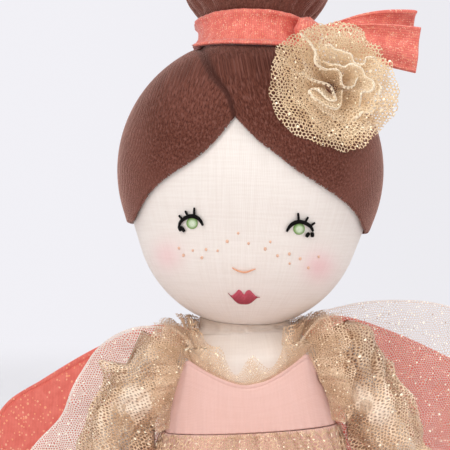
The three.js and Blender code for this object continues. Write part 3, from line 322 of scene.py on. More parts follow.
class Piece:
    """Gathers the surfaces of one piece, then makes its mesh. Cloth coordinates are millimetres."""

    def __init__(self, name):
        self.name = name
        self.points = []
        self.masks = []
        self.faces = []
        self.cloth = []
        self.count = 0

    def add(self, points, faces, cloth, mask=None):
        """faces index points, and cloth has a pair for each corner of each face.

        A mask's real part is the tone of a point, and its imaginary part its shade: painted shade in folds,
        hollows and under the chin, and painted light on the hair.
        """
        self.points.append(points.reshape(-1, 3))
        size = len(self.points[-1])
        self.masks.append(np.broadcast_to(0 if mask is None else mask, points.shape[:-1]).ravel())
        self.faces.append(faces + self.count)
        self.cloth.append(cloth)
        self.count += size

    def grid(self, points, cloth=None, rows=False, columns=False, caps=(False, False), over=False, mask=None):
        """A grid of quads. rows or columns says which way it closes, and caps closes an end by a fan.

        A closed surface is turned to face outwards by the sign of its volume; over turns an open one.
        """
        m, n = points.shape[:2]
        if cloth is None:
            cloth = cloth_lengths(points, rows, columns)
        number = np.arange(m * n).reshape(m, n)
        number = np.vstack([number, number[:1]]) if rows else number
        number = np.hstack([number, number[:, :1]]) if columns else number
        quads = corners(number).reshape(-1, 4)
        quad_cloth = corners(cloth).reshape(-1, 4, 2)
        fans, fan_cloth, tips = [], [], []
        for row in [end for end, capped in zip((0, m - 1), caps) if capped]:
            edge, rim = cloth[row], number[row]
            a, b = (rim[:-1], rim[1:]) if row else (rim[1:], rim[:-1])
            fans.append(np.stack([b, a, np.full(n, m * n + len(tips))], 1))
            fan_cloth.append(np.stack([edge.mean(0) + 0 * edge[1:], edge[1:], edge[:-1]], 1))
            tips.append(points[row].mean(0))
        everything = np.vstack([points.reshape(-1, 3), *tips])
        if columns and (rows or all(caps)):
            over = volume(everything, quads, fans) < 0
        if over:
            quads, quad_cloth = quads[:, ::-1], quad_cloth[:, ::-1]
            fans = [f[:, ::-1] for f in fans]
        tone = None
        if mask is not None:
            tone = np.concatenate([np.broadcast_to(mask, (m, n)).ravel(), np.zeros(len(tips))])
        self.add(everything, quads, quad_cloth, tone)
        self.faces += [fan + self.count - len(everything) for fan in fans]
        self.cloth += fan_cloth

    def closed(self, points, cloth=None, mask=None):
        """A closed form: rings one after another, with a fan over each end."""
        self.grid(points, cloth, columns=True, caps=(True, True), mask=mask)

    def panel(self, outer, inner, cloth=None, around=False, mask=None):
        """Cloth with thickness: two faces with the same grid, joined along every open edge."""
        m, n = outer.shape[:2]
        if cloth is None:
            cloth = cloth_lengths(outer, around, False)
        points = np.concatenate([outer, inner[:, ::-1]], 1)
        cloth = np.concatenate([cloth, cloth[:, ::-1], cloth[:, :1]], 1)
        tone = None if mask is None else np.concatenate([mask, mask[:, ::-1]], 1)
        if around:
            self.grid(points, cloth, rows=True, columns=True, mask=tone)
            return
        number = np.arange(m * 2 * n).reshape(m, 2 * n)
        wide = np.hstack([number, number[:, :1]])
        quads = [corners(wide).reshape(-1, 4)]
        pairs = [corners(cloth).reshape(-1, 4, 2)]
        for row, order in ((0, 1), (m - 1, -1)):
            front, back = number[row, :n], number[row, n:][::-1]
            edge = cloth[row, :n]
            quads.append(np.stack([front[:-1], front[1:], back[1:], back[:-1]], 1)[:, ::order])
            pairs.append(np.stack([edge[:-1], edge[1:], edge[1:], edge[:-1]], 1)[:, ::order])
        quads, pairs = np.vstack(quads), np.vstack(pairs)
        if volume(points.reshape(-1, 3), quads, []) < 0:
            quads, pairs = quads[:, ::-1], pairs[:, ::-1]
        self.add(points, quads, pairs, tone)

    def make(self, material, slot, body=None, nodes=()):
        """The piece's object, in metres, which may ride on a body and replace CAD nodes; its slot is not
        used.
        """
        mesh = bpy.data.meshes.new(self.name)
        points = np.concatenate(self.points) / 1000
        faces = [f for block in self.faces for f in block.tolist()]
        mesh.from_pydata(points.tolist(), [], faces)
        layer = mesh.uv_layers.new(name="cloth")
        layer.data.foreach_set("uv", np.concatenate([c.reshape(-1) for c in self.cloth]).astype(np.float32))
        mesh.polygons.foreach_set("use_smooth", np.ones(len(faces), bool))
        masks = np.concatenate(self.masks)
        for label, values in (("tone", np.real(masks)), ("shade", np.imag(masks))):
            painted = mesh.attributes.new(label, "FLOAT", "POINT")
            painted.data.foreach_set("value", values.astype(np.float32))
        mesh.materials.append(material)
        mesh.validate(clean_customdata=False)
        made = in_scene(self.name, mesh)
        if nodes:
            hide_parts(*nodes)
        if body:
            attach(made, body)
        return made


def volume(points, quads, fans):
    """Six times the volume inside the faces, by the sum of the corners' triple products."""
    triangles = [quads[:, [0, 1, 2]], quads[:, [0, 2, 3]]] + list(fans)
    a, b, c = (points[np.vstack(triangles)[:, k]] for k in range(3))
    return np.einsum("ij,ij->", a, np.cross(b, c))


def cloth_lengths(points, rows=False, columns=False):
    """Cloth coordinates of a grid: the mean lengths across and along it."""
    p = np.concatenate([points, points[:1]]) if rows else points
    p = np.concatenate([p, p[:, :1]], 1) if columns else p
    across = np.linalg.norm(np.diff(p, axis=1), axis=2).mean(0)
    along = np.linalg.norm(np.diff(p, axis=0), axis=2).mean(1)
    u = np.concatenate([[0], np.cumsum(across)])
    v = np.concatenate([[0], np.cumsum(along)])
    return joined(u[None, :], v[:, None])


def run_in(points):
    """Length along each row of a grid from its first point."""
    return np.linalg.norm(np.diff(points, axis=1, prepend=points[:, :1]), axis=2).cumsum(1)


def edge_steps(count, near=0.06):
    """Shares from 0 to 1 that lie closer together at the start, where a sewn edge rolls in."""
    t = np.linspace(0, 1, count)
    return near * t + (1 - near) * t**1.8


def rolled(distance, radius):
    """Height of a rounded edge at a distance in from it: a quarter circle, then level."""
    return np.sqrt(1 - (1 - np.clip(distance / radius, 0, 1)) ** 2)


# Materials

def rgb(r, g, b):
    return (r, g, b, 1)


# Colours that multiply or replace a cloth's own in its hollows and flecks, and where painted shade and light
# fall on it
LINEN_HOLLOW = rgb(0.93, 0.915, 0.9)
LINEN_PAINTED_SHADE = rgb(0.62, 0.47, 0.36)
LINEN_THREAD = 0.42
NET_HOLLOW = rgb(0.8, 0.74, 0.68)
NET_PAINTED_SHADE = rgb(0.4, 0.27, 0.18)
DULL_FLECK = rgb(0.42, 0.25, 0.13)
KNIT_HOLLOW = rgb(0.8, 0.7, 0.7)
COPPER_POINT = rgb(1.0, 0.42, 0.18)
HAIR_DEEP = rgb(0.15, 0.047, 0.031)
HAIR_LIGHT = rgb(0.198, 0.067, 0.047)
HAIR_PARTED = rgb(0.38, 0.34, 0.33)
HAIR_TIPS = rgb(0.29, 0.12, 0.095)
HAIR_CORD = rgb(0.84, 0.82, 0.81)
HAIR_PALE_AND_PAINTED_LIGHT = rgb(0.3, 0.13, 0.1)
HAIR_PAINTED_SHADE = rgb(0.06, 0.021, 0.016)
HAIR_SHEEN = rgb(0.9, 0.58, 0.5)
HEXAGON_HALF = (0.5, 0.8660254, 0.5)  # half the repeat of a net whose cell is 1 wide
BLACK = rgb(0, 0, 0)
WHITE = rgb(1, 1, 1)


class Shader:
    """Short calls for building one node tree."""

    def __init__(self, tree):
        self.tree = tree

    def fill(self, made, values):
        """Each named input gets its value, or a link from the socket given for it."""
        for key, value in values.items():
            if isinstance(value, bpy.types.NodeSocket):
                self.tree.links.new(value, made.inputs[key])
            else:
                made.inputs[key].default_value = value
        return made

    def node(self, kind, values=None, **settings):
        made = self.tree.nodes.new("ShaderNode" + kind)
        for key, value in settings.items():
            setattr(made, key, value)
        return self.fill(made, values or {})

    def use(self, group, values):
        return self.node("Group", values, node_tree=group).outputs

    def attribute(self, name):
        return self.node("Attribute", attribute_name=name).outputs["Fac"]

    def parts(self, vector):
        return self.node("SeparateXYZ", {0: vector}).outputs

    def square(self, size):
        """The same size across and along the cloth."""
        return self.node("CombineXYZ", {0: size, 1: size, 2: 1.0}).outputs[0]

    def math(self, operation, *values):
        return self.node("Math", dict(enumerate(values)), operation=operation).outputs[0]

    def plus(self, a, b):
        return self.math("ADD", a, b)

    def minus(self, a, b):
        return self.math("SUBTRACT", a, b)

    def times(self, a, b):
        return self.math("MULTIPLY", a, b)

    def most(self, a, b):
        return self.math("MAXIMUM", a, b)

    def ribs(self, across, width):
        """Rounded ribs of a width: the absolute sine."""
        return self.math("ABSOLUTE", self.math("SINE", self.times(across, math.pi / width)))

    def vector(self, operation, *values):
        made = self.node("VectorMath", dict(enumerate(values)), operation=operation)
        return made.outputs["Value" if operation in ("LENGTH", "DOT_PRODUCT") else "Vector"]

    def mix(self, factor, a, b, blend="MIX"):
        return self.node("Mix", {0: factor, 6: a, 7: b}, data_type="RGBA", blend_type=blend).outputs[2]

    def tinted(self, base, colour):
        """One colour multiplied by another."""
        return self.mix(1.0, base, colour, "MULTIPLY")

    def between(self, value, low, high, start=0.0, end=1.0):
        """Rises smoothly from start to end as a value passes from low to high."""
        values = {0: value, 1: low, 2: high, 3: start, 4: end}
        return self.node("MapRange", values, interpolation_type="SMOOTHSTEP").outputs[0]

    def noise(self, vector, scale, detail=2.0, **values):
        settings = {"Vector": vector, "Scale": scale, "Detail": detail}
        return self.node("TexNoise", settings | values).outputs[0]

    def stretched(self, vector, x, y):
        return self.vector("MULTIPLY", vector, (x, y, 1.0))

    def bump(self, height, strength, depth):
        """Millimetres of relief turned into a normal."""
        values = {"Strength": strength, "Distance": depth / 1000, "Height": height}
        return self.node("Bump", values).outputs[0]


def start_group(name, inputs, outputs):
    """An empty node group: the calls that fill it, its inputs' sockets and its output node."""
    tree = bpy.data.node_groups.new(name, "ShaderNodeTree")
    for label, value in inputs.items():
        kind = "NodeSocketVector" if value is None else "NodeSocketFloat"
        made = tree.interface.new_socket(label, in_out="INPUT", socket_type=kind)
        if value is not None:
            made.default_value = value
    for label in outputs:
        tree.interface.new_socket(label, in_out="OUTPUT", socket_type="NodeSocketFloat")
    return Shader(tree), tree.nodes.new("NodeGroupInput").outputs, tree.nodes.new("NodeGroupOutput")


def make_weave_group():
    """Plain weave: warp and weft threads with round tops take turns over each other, with thick places."""
    s, given, out = start_group("plain weave", {"Cloth": None, "Thread": 0.5}, ("Height", "Slub"))
    parts = s.parts(s.vector("DIVIDE", given["Cloth"], s.square(given["Thread"])))
    x, y = (s.ribs(parts[k], 1.0) for k in (0, 1))
    over = s.math("PINGPONG", s.plus(s.math("FLOOR", parts[0]), s.math("FLOOR", parts[1])), 1.0)
    warp = s.times(x, s.math("SQRT", y))
    weft = s.times(y, s.math("SQRT", x))
    along = s.noise(s.stretched(given["Cloth"], 1.3, 0.06), 1.0)
    across = s.noise(s.stretched(given["Cloth"], 0.06, 1.3), 1.0)
    s.fill(out, {
        "Height": s.node("Mix", {0: over, 2: warp, 3: weft}, data_type="FLOAT").outputs[0],
        "Slub": s.times(s.plus(along, across), 0.5),
    })
    return s.tree


def make_net_group():
    """Hexagonal net: the distance from the middle of the nearest hexagon, measured across its sides."""
    inputs = {"Cloth": None, "Cell": 1.3, "Strand": 0.3, "Soft": 0.05}
    s, given, out = start_group("hexagonal net", inputs, ("Strand", "Round"))
    p = s.vector("MULTIPLY", s.vector("DIVIDE", given["Cloth"], s.square(given["Cell"])), (1, 1, 0))
    low = tuple(-c for c in HEXAGON_HALF)
    flat_half = (*HEXAGON_HALF[:2], 0)
    a = s.vector("WRAP", p, HEXAGON_HALF, low)
    b = s.vector("WRAP", s.vector("SUBTRACT", p, flat_half), HEXAGON_HALF, low)
    nearer = s.math("LESS_THAN", s.vector("LENGTH", a), s.vector("LENGTH", b))
    middle = s.vector("ABSOLUTE", s.node("Mix", {0: nearer, 4: b, 5: a}, data_type="VECTOR").outputs[1])
    reach = s.most(s.vector("DOT_PRODUCT", middle, flat_half), s.parts(middle)[0])
    edge = s.minus(0.5, s.times(given["Strand"], 0.5))
    start = s.minus(edge, given["Soft"])
    s.fill(out, {
        "Strand": s.between(reach, start, s.plus(edge, given["Soft"])),
        "Round": s.between(reach, start, 0.5),
    })
    return s.tree


def make_glitter_group():
    """Flecks: round spots in some cells of a scattered pattern, each with its own size and tint."""
    inputs = {"Cloth": None, "Spacing": 3.0, "Size": 0.15, "Share": 0.5}
    s, given, out = start_group("glitter", inputs, ("Fleck", "Tint"))
    scale = s.math("DIVIDE", 1.0, given["Spacing"])
    cells = s.node("TexVoronoi", {"Vector": given["Cloth"], "Scale": scale}, voronoi_dimensions="2D")
    random = s.node("SeparateColor", {0: cells.outputs["Color"]}).outputs
    size = s.times(given["Size"], s.plus(0.6, s.times(random[1], 0.8)))
    spot = s.math("LESS_THAN", cells.outputs["Distance"], size)
    chosen = s.math("LESS_THAN", random[0], given["Share"])
    s.fill(out, {"Fleck": s.times(spot, chosen), "Tint": random[2]})
    return s.tree


def make_knit_group():
    """Fine rib knit: rounded wales, with a small wave at each stitch."""
    s, given, out = start_group("rib knit", {"Cloth": None, "Wale": 0.8, "Stitch": 0.6}, ("Height", "Tone"))
    parts = s.parts(given["Cloth"])
    wave = s.math("SINE", s.times(s.math("DIVIDE", parts[1], given["Stitch"]), 2 * math.pi))
    rib = s.ribs(s.math("DIVIDE", s.plus(parts[0], s.times(wave, 0.07)), given["Wale"]), 1.0)
    s.fill(out, {
        "Height": s.times(s.math("SQRT", rib), s.plus(0.85, s.times(wave, 0.15))),
        "Tone": s.noise(given["Cloth"], 0.35, 3.0),
    })
    return s.tree


WEAVE = make_weave_group()
NET = make_net_group()
GLITTER = make_glitter_group()
KNIT = make_knit_group()


def new_material(name):
    """A material with what fills it, its surface, and the cloth coordinates and tone of its piece."""
    made = bpy.data.materials.new(name)
    made.use_nodes = True
    s = Shader(made.node_tree)
    cloth = s.node("UVMap", uv_map="cloth").outputs[0]
    return made, s, made.node_tree.nodes["Principled BSDF"], cloth, s.attribute("tone")


def make_linen(name, pale, deep, rubbed):
    """Woven cotton linen whose threads thicken here and there; tone rubs in a second colour, and the shade
    attribute paints shade on it.
    """
    made, s, surface, cloth, tone = new_material(name)
    weave = s.use(WEAVE, {"Cloth": cloth, "Thread": LINEN_THREAD})
    base = s.mix(s.between(weave["Slub"], 0.36, 0.66), pale, deep)
    base = s.tinted(base, s.mix(s.between(weave["Height"], 0.0, 0.7), LINEN_HOLLOW, WHITE))
    base = s.mix(tone, base, rubbed)
    # Painted shade where the shade attribute is set.
    base = s.mix(s.attribute("shade"), base, s.tinted(base, LINEN_PAINTED_SHADE))
    relief = s.plus(s.times(weave["Height"], 0.5), weave["Slub"])
    s.fill(surface, {
        "Base Color": base, "Roughness": 0.9, "Sheen Weight": 0.15, "Sheen Roughness": 0.5,
        "Specular IOR Level": 0.2, "Normal": s.bump(relief, 0.5, 0.12),
    })
    return made


def make_tulle(name, light, deep, glint, cell, strand, fleck_share):
    """Net with see-through hexagons, pulled a little out of true, with fine glitter glued to its strands.

    A tone above 0 packs the strands closer, as at a fold, and one below 0 thins them. The shade attribute
    paints shade on the net, and the bright flecks glow a little as painted glints.
    """
    made, s, surface, cloth, tone = new_material(name)
    sway = s.node("TexNoise", {"Vector": cloth, "Scale": 0.22, "Detail": 1.0}).outputs["Color"]
    even = s.vector("SUBTRACT", sway, (0.5, 0.5, 0.5))
    pulled = s.node("VectorMath", {0: even, "Scale": 2.4}, operation="SCALE").outputs[0]
    net = s.use(NET, {
        "Cloth": s.vector("ADD", cloth, pulled), "Cell": cell,
        "Strand": s.plus(strand, s.times(tone, 0.5)), "Soft": 0.06,
    })
    fine = s.use(GLITTER, {"Cloth": cloth, "Spacing": 1.1, "Size": 0.17, "Share": fleck_share})
    large = s.use(GLITTER, {"Cloth": cloth, "Spacing": 4.2, "Size": 0.075, "Share": 0.5})["Fleck"]
    fleck = s.most(s.times(fine["Fleck"], s.between(fine["Tint"], 0.0, 1.0, 0.5, 1.0)), large)
    bright = s.between(fine["Tint"], 0.35, 0.5)
    packed = rgb(*(min(1, 0.33 + 0.72 * c) for c in light[:3]))
    base = s.mix(s.between(s.noise(cloth, 0.1), 0.35, 0.65), deep, light)
    base = s.mix(s.between(net["Round"], 0.2, 1.0), s.tinted(base, NET_HOLLOW), base)
    base = s.mix(s.between(tone, 0.25, 0.7, 0.0, 0.7), base, packed)
    # Painted shade where the shade attribute is set.
    base = s.mix(s.attribute("shade"), base, s.tinted(base, NET_PAINTED_SHADE))
    base = s.mix(fleck, base, s.mix(large, s.mix(bright, DULL_FLECK, glint), glint))
    light_let_by = s.times(s.node("LightPath").outputs["Is Shadow Ray"], 0.42)
    solid = s.most(net["Strand"], s.math("GREATER_THAN", fleck, 0.4))
    s.fill(surface, {
        "Base Color": base, "Roughness": s.minus(0.7, s.times(fleck, 0.4)),
        "Alpha": s.times(solid, s.minus(1.0, light_let_by)),
        # Painted glints: the bright flecks glow a little.
        "Emission Color": s.mix(s.times(fleck, bright), BLACK, glint), "Emission Strength": 0.3,
        "Sheen Weight": 0.35, "Sheen Roughness": 0.4, "Specular IOR Level": 0.3,
        "Normal": s.bump(net["Round"], 0.35, 0.12),
    })
    return made


def make_lurex(name, light, deep, sparkle, wale, sparkle_size, share):
    """Knitted metallic cloth: fine ribs with bright points where the metal thread turns over."""
    made, s, surface, cloth, tone = new_material(name)
    knit = s.use(KNIT, {"Cloth": cloth, "Wale": wale, "Stitch": wale * 0.8})
    points = s.use(GLITTER, {"Cloth": cloth, "Spacing": sparkle_size, "Size": 0.34, "Share": share})
    large = s.use(GLITTER, {"Cloth": cloth, "Spacing": sparkle_size * 4, "Size": 0.1, "Share": 0.16})
    shine = s.most(points["Fleck"], large["Fleck"])
    base = s.mix(s.between(knit["Tone"], 0.3, 0.7), deep, light)
    base = s.mix(s.between(knit["Height"], 0.1, 0.9), s.tinted(base, KNIT_HOLLOW), base)
    base = s.mix(s.times(shine, 0.62), base, s.mix(points["Tint"], COPPER_POINT, sparkle))
    base = s.mix(s.times(tone, 0.5), base, deep)
    s.fill(surface, {
        "Base Color": base, "Roughness": s.minus(0.62, s.times(shine, 0.3)),
        "Metallic": s.times(shine, 0.25), "Sheen Weight": 0.3, "Sheen Roughness": 0.4,
        "Normal": s.bump(knit["Height"], 0.5, 0.12),
    })
    return made


def make_velour(name):
    """Short brushed pile over faint cords, speckled where the tips part; a tone above 0 makes it paler, a
    tone below 0 paints shade on it, and the shade attribute paints light on it.
    """
    made, s, surface, cloth, tone = new_material(name)
    cord = s.ribs(s.plus(s.parts(cloth)[0], s.times(s.noise(cloth, 0.06), 9.0)), 0.95)
    pile = s.noise(s.stretched(cloth, 2.3, 1.4), 1.0, 4.0, Roughness=0.75)
    grain = s.noise(s.stretched(cloth, 1.6, 1.1), 1.0, 4.0)
    base = s.mix(s.between(s.noise(cloth, 0.07, 3.0), 0.3, 0.7), HAIR_DEEP, HAIR_LIGHT)
    base = s.mix(s.between(pile, 0.34, 0.62), s.tinted(base, HAIR_PARTED), base)
    base = s.mix(s.between(grain, 0.48, 0.68, 0.0, 0.5), base, HAIR_TIPS)
    base = s.mix(s.between(cord, 0.0, 0.5), s.tinted(base, HAIR_CORD), base)
    base = s.mix(s.times(tone, 1.5), base, HAIR_PALE_AND_PAINTED_LIGHT)
    # Painted light where the shade attribute is set.
    base = s.mix(s.attribute("shade"), base, HAIR_PALE_AND_PAINTED_LIGHT)
    # Painted shade where the tone is below 0: along the parting and over the top of the head.
    base = s.mix(s.between(tone, -0.02, -0.6, 0.0, 0.8), base, HAIR_PAINTED_SHADE)
    ragged = s.plus(tone, s.times(s.minus(s.noise(cloth, 1.5, 3.0), 0.5), 1.4))
    s.fill(surface, {
        "Base Color": base, "Roughness": 0.95, "Sheen Weight": 1.0, "Sheen Roughness": 0.3,
        "Sheen Tint": HAIR_SHEEN, "Specular IOR Level": 0.1,
        "Normal": s.bump(s.plus(s.times(cord, 0.3), pile), 0.8, 0.3),
        "Alpha": s.minus(1.0, s.between(ragged, 0.31, 0.37)),
    })
    return made


def make_thread(name, light, deep, ply=0.32, sheen=0.05, shine=0.3):
    """Embroidery floss: strands side by side across the stitch, each with a soft shine."""
    made, s, surface, cloth, tone = new_material(name)
    parts = s.parts(cloth)
    strand = s.ribs(s.plus(parts[0], s.times(parts[1], 0.35)), ply)
    wear = s.noise(s.stretched(cloth, 2.0, 0.5), 1.0)
    base = s.mix(s.between(s.times(strand, s.plus(wear, 0.5)), 0.05, 0.55), deep, light)
    base = s.mix(tone, base, deep)
    s.fill(surface, {
        "Base Color": base, "Roughness": 0.6, "Sheen Weight": sheen, "Specular IOR Level": shine,
        "Normal": s.bump(strand, 0.6, 0.08),
    })
    return made


LINEN = make_linen("skin_linen", rgb(0.935, 0.87, 0.815), rgb(0.89, 0.815, 0.755), rgb(0.92, 0.46, 0.5))
ROSE = make_linen("rose_linen", rgb(0.875, 0.578, 0.52), rgb(0.845, 0.545, 0.483), rgb(0.7, 0.36, 0.3))
GOLD_TULLE = make_tulle(
    "gold_tulle", rgb(0.98, 0.79, 0.55), rgb(0.88, 0.66, 0.42), rgb(1.0, 0.9, 0.7), 1.3, 0.26, 0.07
)
DRESS_TULLE = make_tulle(
    "dress_tulle", rgb(0.96, 0.73, 0.52), rgb(0.83, 0.59, 0.39), rgb(1.0, 0.9, 0.7), 1.2, 0.27, 0.045
)
PALE_TULLE = make_tulle(
    "pale_tulle", rgb(0.96, 0.8, 0.72), rgb(0.9, 0.7, 0.61), rgb(1.0, 0.93, 0.8), 0.85, 0.24, 0.3
)
CORAL_CLOTH = make_lurex(
    "coral_cloth", rgb(0.9, 0.21, 0.155), rgb(0.82, 0.155, 0.115), rgb(1.0, 0.6, 0.4), 0.55, 0.9, 0.16
)
CORAL_RIBBON = make_lurex(
    "coral_ribbon", rgb(0.9, 0.235, 0.175), rgb(0.78, 0.15, 0.11), rgb(1.0, 0.76, 0.58), 0.75, 0.42, 0.32
)
VELOUR = make_velour("hair_velour")
BLACK_THREAD = make_thread(
    "black_thread", rgb(0.006, 0.005, 0.005), rgb(0.002, 0.002, 0.002), sheen=0.0, shine=0.08
)
GREEN_THREAD = make_thread("green_thread", rgb(0.84, 0.92, 0.74), rgb(0.21, 0.38, 0.1))
ORANGE_THREAD = make_thread("orange_thread", rgb(0.88, 0.46, 0.29), rgb(0.74, 0.31, 0.18))
FRECKLE_THREAD = make_thread("freckle_thread", rgb(0.9, 0.58, 0.42), rgb(0.8, 0.45, 0.3))
RASPBERRY_THREAD = make_thread("raspberry_thread", rgb(0.66, 0.12, 0.17), rgb(0.32, 0.025, 0.045), ply=0.42)


# Head

CLOTH_REACH = 36.0  # the radius at which the cloth's width is measured round the head
POLE_HOLE = 0.6  # left at each end of the head's rings, where a fan closes it
BLUSHES = ((-23.5, 16.5, 0.4), (22.4, 15.2, 0.52))  # across, up and strength
BLUSH_RADIUS = 4.6


def head_ring(q, a, cover, least_y=-np.inf):
    """Points at lengths q down the head and angles round it, no further forward than a least y."""
    width, depth, height = meridian(q, cover)
    y = np.maximum(depth * bend(np.sin(a), HEAD_SQUARENESS), least_y)
    return joined(width * bend(np.cos(a), HEAD_SQUARENESS), y, height)


def make_head():
    """The head form: the meridian's length down one way and the angle round the other."""
    q = np.linspace(POLE_HOLE, HEAD_ARC - POLE_HOLE, 120)[:, None]
    points = head_ring(q, ring(180) + np.pi / 2, 0)
    cloth = joined(np.linspace(0, 2 * np.pi * CLOTH_REACH, 181)[None, :], q)
    blush = 0
    for x, z, strength in BLUSHES:
        far = np.hypot(points[..., 0] - x, points[..., 2] - z)
        blush = blush + strength * bell(far, BLUSH_RADIUS) * (points[..., 1] < 0)
    blush = blush + 0.05 * smooth((20 - points[..., 2]) / 30)
    piece = Piece("head_cover")
    piece.closed(place(points, HEAD), cloth, blush)
    made = piece.make(LINEN, "linen", "head", ["head"])


make_head()


# Hair

PARTING = np.array([(-4.5, 58.4), (-7.2, 65.5), (-12.37, 71.59), (-16.01, 78.75), (-17.6, 84.0)])
HAIRLINES = {
    -1: [(-4.5, 58.4), (-8.91, 52.24), (-13.56, 47.16), (-17.33, 44.26), (-22.8, 40.55), (-27.35, 36.87),
         (-30.17, 33.52), (-32.65, 29.55), (-34.6, 26.4), (-36.8, 25.4)],
    1: [(-4.5, 58.4), (2.63, 51.61), (8.24, 47.76), (13.85, 43.67), (19.43, 40.42), (25.13, 37.19),
        (30.36, 33.64), (33.6, 30.22), (35.4, 27.0), (37.0, 25.4)],
}
HAIR_TIP = 25.5
NAPE = 14.0
PARTING_TOP = 16.6  # how far beside the middle the parting meets the head's outline
HAIR_ROLL = 1.3  # how far in from its edge the hair rolls under


def down_to(height, cover=1.0):
    """The length down from the top of the head at which its outline reaches a height."""
    q = np.linspace(0, HEAD_ARC, 2000)
    return np.interp(-height, -meridian(q, cover)[2], q)


def hair_face(skin, roll):
    """The outer face of a hair panel: it stands off the head by a thickness that rolls in at the edges."""
    low = skin(GAP + 0.15)
    return low + (skin(GAP + HAIR_CLOTH) - low) * roll[..., None]


def make_front_hair(side, side_name):
    """One velour panel: lines run from the hairline straight up, as seen from the front, to the head's edge.

    The first line is the parting and the last the point by the ear, and the cloth rolls in at its edges.
    """
    u = edge_steps(110, 0.12)[:, None]
    v = np.sin(edge_steps(90, 0.1) * np.pi / 2)[None, :]
    hairline = line_through(HAIRLINES[side], 400)
    hx, hz = (np.interp(u, np.linspace(0, 1, 400), hairline[:, k]) for k in (0, 1))
    seam = line_through(PARTING, 200)
    top = -side * CROWN_RADIUS * math.asin(PARTING_TOP / CROWN_RADIUS)
    q = top + (down_to(HAIR_TIP) - top) * u

    def skin(cover):
        width, _, sz = meridian(q, cover)
        sx = side * width
        x, z = hx + (sx - hx) * v, hz + (sz - hz) * v
        straight_x = hx[0] + (sx[0] - hx[0]) * v
        wanted = np.interp(z[:1], seam[:, 1], seam[:, 0])
        x = x + (wanted - straight_x) * (1 - u) ** 3 * (1 - v**6)
        return on_face(x, z, cover)

    flat = skin(1.0)
    x, y, z = np.moveaxis(flat, -1, 0)
    run = run_in(flat)
    from_seam = np.linalg.norm(flat - flat[:1], axis=2)
    groove = bell(from_seam, 1.5)
    roll = rolled(run, HAIR_ROLL) * (1 - 0.66 * groove) * (0.45 + 0.55 * rolled(run[:, -1:] - run, 1.0))
    outer, inner = hair_face(skin, roll), skin(GAP)
    inner[:, -1, 1] = outer[:, -1, 1] = -GAP / 2
    cloth = joined(x + 0.25 * side * z + 200, z - y)
    # Paler where the cloth rolls in at its edges, and painted shade along the parting's groove.
    tone = 0.35 * np.exp(-run / 0.9) * (1 - groove) - 0.6 * bell(from_seam, 1.1)
    # Painted shade over the top of the head.
    tone = tone - 0.2 * smooth((z - 60) / 14)
    # Painted light on the sides of the hair, below the crown.
    painted_side_light = 0.28 * smooth((np.abs(x) - 24) / 12) * smooth((66 - z) / 14)
    piece = Piece(f"{side_name}_hair_panel")
    piece.panel(place(outer, HEAD), place(inner, HEAD), cloth, mask=tone + 1j * painted_side_light)
    made = piece.make(VELOUR, "velour", "head", [f"{side_name}_front_hair"])


def make_back_hair():
    """The back panel: lines run from the nape and sides up to the top of the head."""
    a = np.linspace(0, np.pi, 150)[:, None]
    fine = np.linspace(0, HEAD_ARC, 900)
    x, _, height = np.moveaxis(head_ring(fine, a, 1.0), -1, 0)
    edge = NAPE + (HAIR_TIP - NAPE) * smooth((np.abs(x) - 9) / 25)
    stop = fine[np.argmax(height - edge < 0, axis=1)][:, None]
    v = edge_steps(90)[None, :]
    q = stop * (1 - v) + 0.4 * v

    def skin(cover):
        return head_ring(q, a, cover, GAP / 2)

    flat = skin(1.0)
    run = run_in(flat)
    roll = rolled(run, HAIR_ROLL) * (0.45 + 0.55 * rolled(np.abs(flat[..., 1]), 1.0))
    cloth = joined(CLOTH_REACH * a + 400, run)
    piece = Piece("back_hair_panel")
    piece.panel(place(hair_face(skin, roll), HEAD), place(skin(GAP), HEAD), cloth, mask=0.35 * (1 - roll))
    made = piece.make(VELOUR, "velour", "head", ["back_hair"])


for side, side_name in SIDES:
    make_front_hair(side, side_name)
make_back_hair()


# Topknot

BUN_ROWS = [
    (-6, TIED_RADIUS + 2.2), (0, TIED_RADIUS + 1.3), (3, TIED_RADIUS), (RIBBON_WIDTH - 1, TIED_RADIUS + 0.6),
    (RIBBON_WIDTH + 5, BUN_RADIUS * 0.88), (BUN_HEIGHT * 0.46, BUN_RADIUS * 0.985), (BUN_WIDEST, BUN_RADIUS),
]
INTO_HEAD = np.linalg.inv(HEAD) @ TOPKNOT


def bun_radius(h):
    return through(BUN_ROWS, h)


def last_of(inside):
    """The last place along each row that is inside."""
    return inside.shape[-1] - 1 - np.argmax(inside[..., ::-1], axis=-1)


def seat_on_head(angle, radius, cover):
    """The height on the topknot's axis at which a wall at that angle and radius leaves the head."""
    h = np.linspace(-14, 12, 400)
    inside = head_gauge(place(polar(radius, angle[..., None], h), INTO_HEAD), cover) < 1
    return h[last_of(inside)]


